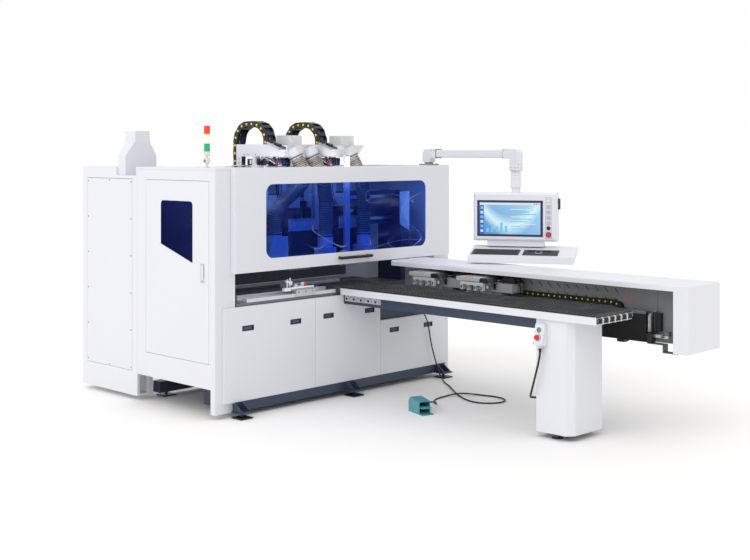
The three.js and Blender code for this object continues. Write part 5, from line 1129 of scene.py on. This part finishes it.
rod(skin, (2148, -2752, 776), (2148, -2752, 936), 15, material=1)
rod(skin, (2148, -2752, 936), (2148, -2752, 950), 6, material=2)
slab(skin, (2130.4, 2150), (-2745, -2730), (800, 900), 1)
slab(skin, (2084, 2118), (-2862, -2840), (752, 782), 3)
slab(skin, (2090, 2128), (-2908, -2870), (768, 798), 3)
slab(skin, (2140, 2174), (-2806, -2760), (790, 934), 1)
slab(skin, (2096, 2106), (-2900, -2772), (748, 772), 2)
for y, z in (((-2870, -2726), (698, 704)), ((-2871, -2864), (646, 704)), ((-2999, -2864), (640, 646))):
    slab(skin, (2072, 2142), y, z, 3)
slab(skin, (2056, 2124), (-2532, -2466), (688, 710.7), 1)
drawn("beam_end_fittings", skin, [white_paint, black_plastic, bright_steel, bracket_grey], "frame", ease=0.0012)
end_screws = [((2112, -2731, z), (0, 0, 0)) for z in (800, 900)]
spread("end_plate_screws", screw(4, 2.5, 2), end_screws, screw_steel, "frame")

# Energy chain of the clamps. Black links with yellow pin caps lie on the beam's tray in one long
# loop, and carry the clamps' cables.
run, pitch, line = along_path([
    ((-1384, 980), (-2388, 980)), ((-2388, 918), 62, 90, 270), ((-2388, 856), (-1700, 856))], 34)
for parity in (0, 1):
    places = [((2160, p.x, p.y), (a, 0, 0)) for p, a in run[parity::2]]
    piece_of(f"beam_links_{parity + 1}", repeated(link(34, pitch, 39, 5, 2 * parity), places, chain_plastic),
             None, "frame", *([] if parity else ["energy_chain_beam"]), slot="chain_plastic")
cap = bmesh.new()
turned(cap, [(0, -4), (7, -4), (7, 1.2), (6, 2), (0, 2)], (-17, 0, 0), (-1, 0, 0), 16)
spread("beam_link_caps", cap, [((2160, p.x, p.y), (a, 0, 0)) for p, a in run], yellow_caps, "frame")
skin = bmesh.new()
for x, r, kind in ((2151, 4.5, 0), (2160, 4.5, 1), (2168, 4, 0)):
    tube_into(skin, [Vector((x, p.x, p.y)) for p in line[1:-1]], r, 8, kind)
drawn("beam_chain_cables", skin, [cable_rubber, blue_cable], "frame")

# Beam housing. A folded white cover with a box at its end hangs over the clamps. The slotted steel
# plate behind them is made of butted lengths, and the wiring behind it shows through the slots.
sheathed("beam_cover", "beam_housing", white_paint, "frame", slot="white_paint", ease=0.0015)
plate_steel, place = new_finish("plate_steel")
run_of = place.stretched(60, 1.4, 60).noise(9, 4, 0.6)
# The plate's colour darkens towards the end of the beam: painted shade under the housing.
painted_shade_to_end = place.part("Y").between(-0.9, -2.7)
shade = painted_shade_to_end.mix(colour("A9AAAC"), colour("646568"))
place.coat(Base_Color=run_of.mix(shade, colour("8E8F92")), Metallic=0.1, Roughness=0.42 + 0.15 * run_of,
           Normal=run_of.raised(0.0002, 0.2)).shown()
# A dark finish for joints and gaskets, also used as painted shade in the plate's slots.
seam_dark = moulded("seam_dark", "0C0D0E", 0.6)
wire_red = moulded("wire_red", "EE3A3E", 0.45)
sheathed("slotted_plate", "beam_back_plate", plate_steel, "frame", slot="machined_steel", ease=0.0004)
slot_step, plate_middle, half_slot = 94, 2184, 17.5
top_row, middle_row, low_row = 1068, 996, 927
slots = [(-2477 + slot_step * i, top_row) for i in range(16)]
slots += [(-2571 + slot_step * i, middle_row) for i in range(11)] + [(-2571, low_row), (-2477, low_row)]
red_slots = [(-2477, top_row), (-2477, middle_row), (-2571, middle_row)]
# Dark inserts fill most slots, painted shade for the dark space behind the plate; the red ones are wires seen
# through it.
for name, finish, red in (("plate_slot_strips", seam_dark, False), ("red_slot_strips", wire_red, True)):
    strip = bmesh.new()
    hull(strip, [(x, way * half_slot + edge, way * half_slot) for x in (-3.4, 3) for way in (-1, 1)
                 for edge in (-4.8, 4.8)])
    places = [((plate_middle, y, z), (0, 0, 0)) for y, z in slots if ((y, z) in red_slots) == red]
    spread(name, strip, places, finish, "frame", angle=25)
seams, plate_face = (-312, -1000, -1880, -2758), 2179.7
skin = bmesh.new()
for y in seams:
    slab(skin, (plate_face + 0.05, plate_face + 0.7), (y - 1.1, y + 1.1), (712, 1160))
for y in (-1404, -860):
    slab(skin, (2150, plate_face), (y, y + 160), (1070, 1122))
    slab(skin, (2158, 2174), (y + 30, y + 58), (1122, 1140))
slab(skin, (2176, plate_face), (-2990, -2600), (1122, 1134))
drawn("plate_seams_and_sensors", skin, seam_dark, "frame")
plate_screw_places = [((plate_face + 0.1, y + dy, z), (0, 0, -90)) for y in seams for dy in (-22, 22)
                      for z in (740, 1010, 1140)]
spread("slotted_plate_screws", screw(5, 2.6, 2.4), plate_screw_places, screw_steel, "frame")
skin = bmesh.new()
for i, (z, sag) in enumerate(((1074, 10), (1064, -6), (1000, 9), (990, -5), (930, 6))):
    points = [Vector((2196 + 3 * (k % 2), -2960 + 90 * k, z + sag * math.sin(1.7 * k + i))) for k in range(7)]
    tube_into(skin, drawn_through(points, 8), 4.2, 8, int(i == 3))
# A black sheet behind the slots, painted shade for the dark space that they look into.
slab(skin, (2204, 2206), (-2985, -90), (890, 1110), 1)
drawn("end_wiring", skin, [wire_red, black_plastic], "frame")
skin = bmesh.new()
turned(skin, [(0, 0), (7, 0), (7, 3), (0, 3)], (2150, -1330, 1098), (-1, 0, 0), 16)
drawn("sensor_cap", skin, yellow_caps, "frame")

# Clamps. Each has a cast carriage on the two rails with a grey lid and a tail box, a ground lower
# jaw, and a bright pressing jaw with four fingers that two short cylinders push down.
def prism(skin, outline, x, material=0):
    """A body of one outline in depth and height, between two widths, in millimetres."""
    near_ring, far_ring = [[skin.verts.new((a, y, z)) for y, z in outline] for a in x]
    faces = [skin.faces.new(near_ring[::-1]), skin.faces.new(far_ring)]
    for i, _ in enumerate(outline):
        j = (i + 1) % len(outline)
        faces.append(skin.faces.new((near_ring[i], near_ring[j], far_ring[j], far_ring[i])))
    for face in faces:
        face.material_index = material


clamp_grey = powder_coat("clamp_grey", "8D8F93", 0.42, tint=0.03)
lid_grey = powder_coat("lid_grey", "B4B6BA", 0.38, tint=0.03)
jaw_steel = machined("jaw_steel", "DFE1E4", 0.26, (60, 6, 60), 0.35)
tip_white = moulded("tip_white", "E6E4DE", 0.4)
label_amber = moulded("label_amber", "B5763C", 0.45)
finger_pitch, lamp_x, cylinder_x, lid_face, tail_face = (250 - 26) / 3, 1918, 1922, 1103.9, 190.2 + 160
for name, y in (("near", -575), ("far", -1130)):
    def lid_faces(p, middle=y):
        if p.x < 1990 and p.z < 973:
            return 2
        return p.z > 1071.5 and p.x < 2117 and abs(p.y - middle) < 200
    sheathed(f"clamp_casting_{name}", f"clamp_carriage_{name}", [clamp_grey, lid_grey, jaw_steel],
             f"clamp_{name}", slot="dark_grey_paint", ease=0.0015, sorted_by=lid_faces)
    skin = bmesh.new()
    slab(skin, (2030, 2130), (y - 338, y - 212), (1060.3, 1110))
    slab(skin, (2118, 2138), (y - 60, y + 92), (1085.4, 1118))
    turned(skin, [(0, 0), (15, 0), (15, 3), (20, 3), (20, 11), (0, 11)], (2119, y + 130, 1106), (1, 0, 0), 24)
    hull(skin, [(x, y + dy, z) for x in (1870.5, 2117.5)
                for dy, z in ((-197, 1071), (-171, 1105.4), (-96, 1105.4), (-84, 1071))])
    slab(skin, (1986, 2000), (y - 176, y - 150), (1004, 1052))
    slab(skin, (2006, 2056), (y - 351.5, y - 350), (1000, 1046), 1)
    points = [Vector((x, y + dy, z)) for x, dy, z in (
        (2060, -330, 1102), (2060, -356, 1092), (2066, -372, 1050), (2086, -366, 1000), (2110, -344, 990))]
    tube_into(skin, drawn_through(points, 8), 6, 10)
    drawn(f"clamp_drive_{name}", skin, [black_plastic, ring_grey], f"clamp_{name}", ease=0.0012)
    skin = bmesh.new()
    slab(skin, (1900, 1960), (y + 40, y + 130), (lid_face, 1104.5))
    slab(skin, (1995, 2008), (y - 345, y - 322), (1060.2, 1064), 1)
    drawn(f"clamp_label_{name}", skin, [label_amber, button_red], f"clamp_{name}")
    screws = [((x, y + s, 1104), (-90, 0, 0)) for x in (1890, 2098) for s in (-152, 0, 152)]
    screws += [((1979.9, y + s, z), (0, 0, -90)) for s in (-108, 108) for z in (988, 1072)]
    screws += [((x, y - tail_face, z), (0, 0, 0)) for x in (2066, 2126) for z in (1000, 1048)]
    spread(f"clamp_screws_{name}", screw(5, 3, 2.6), screws, screw_steel, f"clamp_{name}")
    sheathed(f"pressing_jaw_{name}", f"clamp_jaw_{name}", jaw_steel, f"jaw_{name}", slot="machined_steel",
             ease=0.0012)
    skin = bmesh.new()
    for i in range(4):
        middle = y - 112 + i * finger_pitch
        slab(skin, (1873, 1904), (middle - 12, middle + 12), (996, 1000.4))
        slab(skin, (1869.6, 1872.4), (middle - 7, middle + 7), (1010, 1034), 1)
    rod(skin, (lamp_x, y - 140, 1016), (lamp_x, y - 140, 1050), 8)
    rod(skin, (lamp_x, y - 140, 1050), (lamp_x, y - 140, 1062), 9.5, material=2)
    slab(skin, (1908, 1936), (y - 150, y - 124.6), (1043, 1049), 1)
    for s in (-0.5, 0.5):
        turned(skin, [(15.8, 0), (18, 0), (18, 7), (15.8, 7), (15.8, 0)], (cylinder_x, y + 125 * s, 1026),
               sides=28, material=1)
        rod(skin, (cylinder_x, y + 125 * s, 1000), (cylinder_x, y + 125 * s, 1006.4), 9, material=1)
    drawn(f"jaw_fittings_{name}", skin, [tip_white, screw_steel, blue_plastic], f"jaw_{name}", ease=0.0008)

# Console arm. A grey swivel flange screwed to the roof, a white box tube with two cast elbows, and
# the tube that the console hangs on. Pairs of countersunk screws hold the elbows.
sheathed("swivel_flange", "arm_base", clamp_grey, "frame", slot="black_paint", ease=0.002)
post_x, post_y, bolt_circle, flange_top = 2700, 100, 82, 2059
angles = [math.radians(45 + 60 * k) for k in range(6)]
flange_screws = [((post_x + bolt_circle * math.cos(a), post_y + bolt_circle * math.sin(a), flange_top),
                  (-90, 0, 0)) for a in angles]
spread("flange_screws", screw(7, 5, 4), flange_screws, screw_steel, "frame")
sheathed("box_tube_arm", "console_arm", white_paint, "arm", slot="white_paint", ease=0.004, segments=3)
arm_screws = [((2655.8, y, z), (0, 0, -90)) for y, z in (
    (-8, 2128), (-8, 2190), (28, 2128), (28, 2190), (-861, 2128), (-861, 2190), (-992, 2032), (-946, 2032))]
arm_screws += [((x, -1013.2, z), (0, 0, 0)) for x in (2676, 2724) for z in (2032, 2062)]
spread("elbow_screws", screw(4.5, 0.8, 2.6), arm_screws, screw_steel, "arm")
skin = bmesh.new()
tube_wide = (2655.4, 2744.6)
for y in (-24.6, -844.4):
    slab(skin, tube_wide, (y - 0.8, y + 0.8), (2114.4, 2203.6))
slab(skin, tube_wide, (-1013.6, -924.4), (2004, 2005.4))
drawn("elbow_gaskets", skin, seam_dark, "arm")

# Console. A white sheet housing with bevelled edges, a dark blue bezel round the screen and a pale
# framed column of buttons. It hangs on its coupling and turns with the key tray under it.
console_post = Vector((2700, -969, 0))
on_console = Matrix.Translation(console_post) @ Matrix.Rotation(-math.pi / 3, 4, "Z")
skin = bmesh.new()
loops = []
for (x0, x1, z0, z1), depth in (
        ((-377, 377, 1372, 1801), 75), ((-383, 383, 1366, 1807), 69), ((-383, 383, 1366, 1807), -57),
        ((-365, 365, 1384, 1789), -75), ((-346, 252, 1408, 1736), -75), ((-346, 252, 1408, 1736), -63)):
    loops.append([skin.verts.new((x, depth, z)) for x, z in ((x0, z0), (x1, z0), (x1, z1), (x0, z1))])
for a, b in zip(loops, loops[1:]):
    for k in range(4):
        skin.faces.new((a[k], a[k - 1], b[k - 1], b[k]))
skin.faces.new(loops[0])
skin.faces.new(loops[-1])
for half, z0, z1 in ((45, 1850, 1959.7), (38, 1806, 1850.3)):
    hull(skin, [(a * half, b * (half - 12), z) for a, b in corners for z in (z0, z1)]
         + [(a * (half - 12), b * half, z) for a, b in corners for z in (z0, z1)])
slab(skin, (-258, 258), (-50, 40), (1317.6, 1367))
drawn("console_shell", skin, white_paint, "console", "console_housing", where=on_console, slot="white_paint",
      ease=0.003, segments=3)
skin = bmesh.new()
slab(skin, (383.1, 398.8), (-20, 50), (1656, 1754))
slab(skin, (398.6, 399), (-8, 38), (1672, 1738), 1)
console_back = 77.4
slab(skin, (-300, 300), (75, console_back), (1404, 1770), 2)
for i in range(9):
    slab(skin, (-212, 212), (77.3, 78), (1640 + 12 * i, 1645 + 12 * i), 1)
for x in (-160, -90, -20, 50, 120):
    rod(skin, (x, 20, 1366.3), (x, 20, 1344), 11, material=0)
drawn("console_side_and_back", skin, [black_plastic, seam_dark, white_paint], "console", where=on_console,
      ease=0.0012)
back_screws = [(on_console @ Vector((x, console_back, z)), (0, 0, 120)) for x in (-288, 0, 288)
               for z in (1416, 1758)]
spread("console_back_screws", screw(4.5, 2.4, 2.4), back_screws, screw_steel, "console")

bezel_navy = moulded("bezel_navy", "141F52", 0.3)
screen_picture, place = new_finish("screen_picture")
across = 0.5 * place.part("X") - 0.866 * place.part("Y")
post = at(*console_post)
middle = 0.5 * post.x - 0.866 * post.y
sweep = (across - middle) * 2.1 + (place.part("Z") - 1.572) * 2.4
arc = (across - middle + 0.05) * (across - middle + 0.05) * 2.6 - (place.part("Z") - 1.5) * 0.9
glow = arc.math("ABSOLUTE", arc).between(0.09, 0.0)
sky = (sweep * 0.5 + 0.5).between(0.0, 1.0).mix(colour("4486D6"), colour("AEE2F7"))
place.coat(Base_Color=colour("06080C"), Roughness=0.16, Emission_Color=glow.mix(sky, colour("D8F4FF")),
           Emission_Strength=0.95).shown()


def lit(name, code, strength=0.8):
    """A lit area of the screen."""
    finish, place = new_finish(name)
    place.coat(Base_Color=colour("08090C"), Roughness=0.2,
               Emission_Color=place.noise(3, 1).mix(colour(code, 0.94), colour(code, 1.04)),
               Emission_Strength=strength).shown()
    return finish


lit_white, lit_cyan, lit_blue, lit_amber = [lit(f"lit_{name}", code) for name, code in (
    ("white", "F2F6FA"), ("cyan", "7FD6EE"), ("blue", "1B5FD0"), ("amber", "F0B23C"))]
skin = bmesh.new()
screen_wide, screen_high = (-345.7, 251.7), (1408.3, 1735.7)
slab(skin, screen_wide, (-70, -63.3), screen_high, 0)
for x, z in rim_bars(screen_wide, screen_high, 21.7, 19.7):
    slab(skin, x, (-75.6, -63.3), z, 1)
tiles = [((-322, 228), (1694, 1714), 2), ((-322, -286), (1430, 1692), 4)]
tiles += [((-316, -292), (1656 - 42 * i, 1680 - 42 * i), 2 if i % 2 else 3) for i in range(6)]
tiles += [((-40, -40 + w), (1650 - 22 * i, 1658 - 22 * i), 3 if i % 3 else 2)
          for i, w in enumerate((210, 168, 236, 120, 190, 150, 224, 90, 176))]
tiles += [((-262 + 42 * i, -238 + 42 * i), (1446, 1446 + h), 3) for i, h in enumerate((38, 66, 52, 88, 60))]
tiles += [((172 + 18 * i, 184 + 18 * i), (1698, 1710), 4 if i < 2 else 5) for i in range(3)]
for x, z, kind in tiles:
    slab(skin, x, (-70.8 if kind == 4 and x[1] < -280 else -71.2, -70), z, kind)
drawn("console_display", skin, [screen_picture, bezel_navy, lit_white, lit_cyan, lit_blue, lit_amber],
      "console", "console_screen", where=on_console, slot="screen_glass", ease=0.0006)

column_pale = moulded("column_pale", "D4D7DD", 0.4)
column_grey = moulded("column_grey", "B4B7BD", 0.38)
middle, plate = 303, -75.8
skin = bmesh.new()
for x, z in rim_bars((276, 330), (1398, 1766), 3):
    slab(skin, x, (-77.4, -75), z, 1)
slab(skin, (278, 328), (-76, -75), (1400, 1764))
for i, z in enumerate((1734, 1682, 1632, 1583, 1534)):
    slab(skin, (middle - 17, middle + 17), (-78, plate), (z - 17, z + 17), 1)
    hull(skin, [(middle + a * 13, -78, z + b * 13) for a, b in corners]
         + [(middle + a * 11, -80.6, z + b * 11) for a, b in corners], 1 if i else 2)
turned(skin, [(0, 0), (18, 0), (18, 3), (15, 6), (13, 6), (13, 10), (0, 10)], (middle, plate, 1489),
       (0, -1, 0), 32, 3)
slab(skin, (middle - 3, middle + 3), (-91, -85), (1479, 1499), 3)
turned(skin, [(11, 0), (25, 0), (25, 0.7), (24, 1.3), (11, 1.3), (11, 0)], (middle, plate, 1431),
       (0, -1, 0), 36, 3)
drawn("button_column", skin, [column_pale, column_grey, tip_white, black_plastic], "console", where=on_console,
      ease=0.0012)
sheathed("emergency_stop_head", "emergency_stop", button_red, "emergency_stop", slot="red_plastic", ease=0.003,
         segments=3)

# Key tray. A folded white sheet tray hangs on the console's neck. A black keyboard and a black
# trackball pad with a bright ring are let into its slope.
skin = bmesh.new()
prism(skin, [(-345, 1190), (20, 1250), (80, 1250), (80, 1317), (20, 1317), (-345, 1253)], (-388, 552))
drawn("key_tray_sheet", skin, white_paint, "console", "key_tray", where=on_console, slot="white_paint",
      ease=0.0025, segments=3)


tray_front, tray_deep, tray_low, tray_rise = -345, 365, 1253, 65
tray_slope = math.atan2(tray_rise, tray_deep)


def tray_point(x, share, lift):
    """A point a share of the way up the tray's slope, and lifted off it."""
    return Vector((x, tray_front + tray_deep * share - lift * math.sin(tray_slope),
                   tray_low + tray_rise * share + lift * math.cos(tray_slope)))


key_well = moulded("key_well", "0B0C0E", 0.6)
skin = bmesh.new()
for x0, x1 in ((-367, 60), (93, 407)):
    hull(skin, [tray_point(x, share, lift) for x in (x0, x1) for share in (0.11, 0.6) for lift in (-3, 3.4)])
for x0, x1 in ((124, 196), (264, 336)):
    hull(skin, [tray_point(x, share, lift) for x in (x0, x1) for share in (0.45, 0.57) for lift in (3, 6.2)], 1)
hull(skin, [tray_point(x, share, 3) for x in (-349, 42) for share in (0.125, 0.585)]
     + [tray_point(x, share, 3.8) for x in (-346, 39) for share in (0.13, 0.58)], 1)
drawn("keyboard_and_pad", skin, [black_plastic, key_well], "console", where=on_console, ease=0.0015)
tilt, key_pitch, row_pitch = math.degrees(tray_slope), 20, 0.064
key_black = moulded("key_black", "26272B", 0.5)
cap = bmesh.new()
hull(cap, [(a * 8.2, b * 9, 0) for a, b in corners]
     + [(a * 6.4, b * 7, 3.4) for a, b in corners])
caps = []
for row in range(7):
    for column in range(19):
        if not (row == 0 and 5 < column < 12):
            place = tray_point(-335 + key_pitch * column, 0.165 + row_pitch * row, 3.6)
            caps.append((on_console @ place, (tilt, 0, -60)))
spread("key_caps", cap, caps, key_black, "console", angle=20)
skin = bmesh.new()
hull(skin, [tray_point(x, share, 3.6) for x in (-216, -114) for share in (0.142, 0.188)]
     + [tray_point(x, share, 7) for x in (-214, -116) for share in (0.146, 0.184)])
ball_middle = tray_point(230, 0.34, 4)
normal = (tray_point(0, 0, 1) - tray_point(0, 0, 0)).normalized()
ball = 24
turned(skin, [(ball, -2), (33, -2), (33, 1.5), (30, 4), (25, 4), (ball, -2)], ball_middle, normal, 40, 1)
turned(skin, [(ball * math.cos(math.radians(a)), ball * math.sin(math.radians(a))) for a in (0, 18, 36, 54, 72)]
       + [(0, ball)], ball_middle - 7 * normal, normal, 36)
drawn("space_bar_and_trackball", skin, [black_plastic, bright_steel], "console", where=on_console, angle=40)

# Foot pedal. A die cast guard in blue green paint over a base plate, with a ribbed treadle on a
# pin inside it. Its cord enters through a rubber sleeve at the side, and two more sleeves hold the
# leads where they leave the frame and the button box.
teal_paint = powder_coat("teal_paint", "4C98A2", 0.36, tint=0.04, peel=0.5)
pedal_turn = -0.295
on_pedal = Matrix.Translation((1394, -984, 0)) @ Matrix.Rotation(pedal_turn, 4, "Z")
sheathed("pedal_guard", "pedal_body", [teal_paint, black_plastic], "frame", slot="teal_paint", ease=0.002,
         segments=3, sorted_by=lambda p: (on_pedal.inverted() @ p).x > 55)
sheathed("treadle_plate", "pedal_treadle", teal_paint, "treadle", slot="teal_paint", ease=0.001)
rib = bmesh.new()
hull(rib, [(x, y, z) for x in (-38, 38) for y, z in ((-2.6, 0), (2.6, 0), (-1.4, 2.2), (1.4, 2.2))])
drop, treadle_long, treadle_back = 12, 190, 92
rib_turn = math.degrees(math.atan2(-drop, treadle_long))
ribs = [(on_pedal @ Vector((0, y, 47 + drop * (treadle_back - y) / treadle_long)),
         (rib_turn, 0, math.degrees(pedal_turn))) for y in range(-88, 60, 12)]
spread("treadle_ribs", rib, ribs, teal_paint, "treadle")
pedal_screws = [(on_pedal @ Vector((x, -103, 8)), (-90, 0, 0)) for x in (-38, 38)]
pedal_screws += [(on_pedal @ Vector((-54, y, z)), (0, 0, -90 + math.degrees(pedal_turn)))
                 for y, z in ((78, 40), (92, 84))]
spread("pedal_screws", screw(5, 3, 2.6), pedal_screws, screw_steel, "frame")
skin = bmesh.new()
turned(skin, [(6.6, 0), (13.5, 0), (13, 9), (9.4, 16), (7.8, 26), (6.6, 26), (6.6, 0)], (2425, -19.7, 665),
       (0, -1, 0), 24)
turned(skin, [(8.2, 0), (13, 0), (12.4, 10), (9.4, 22), (8.2, 22), (8.2, 0)], (1366, -2232, 685), (0, 0, -1),
       24)
drawn("cord_sleeves", skin, cable_rubber, "frame")
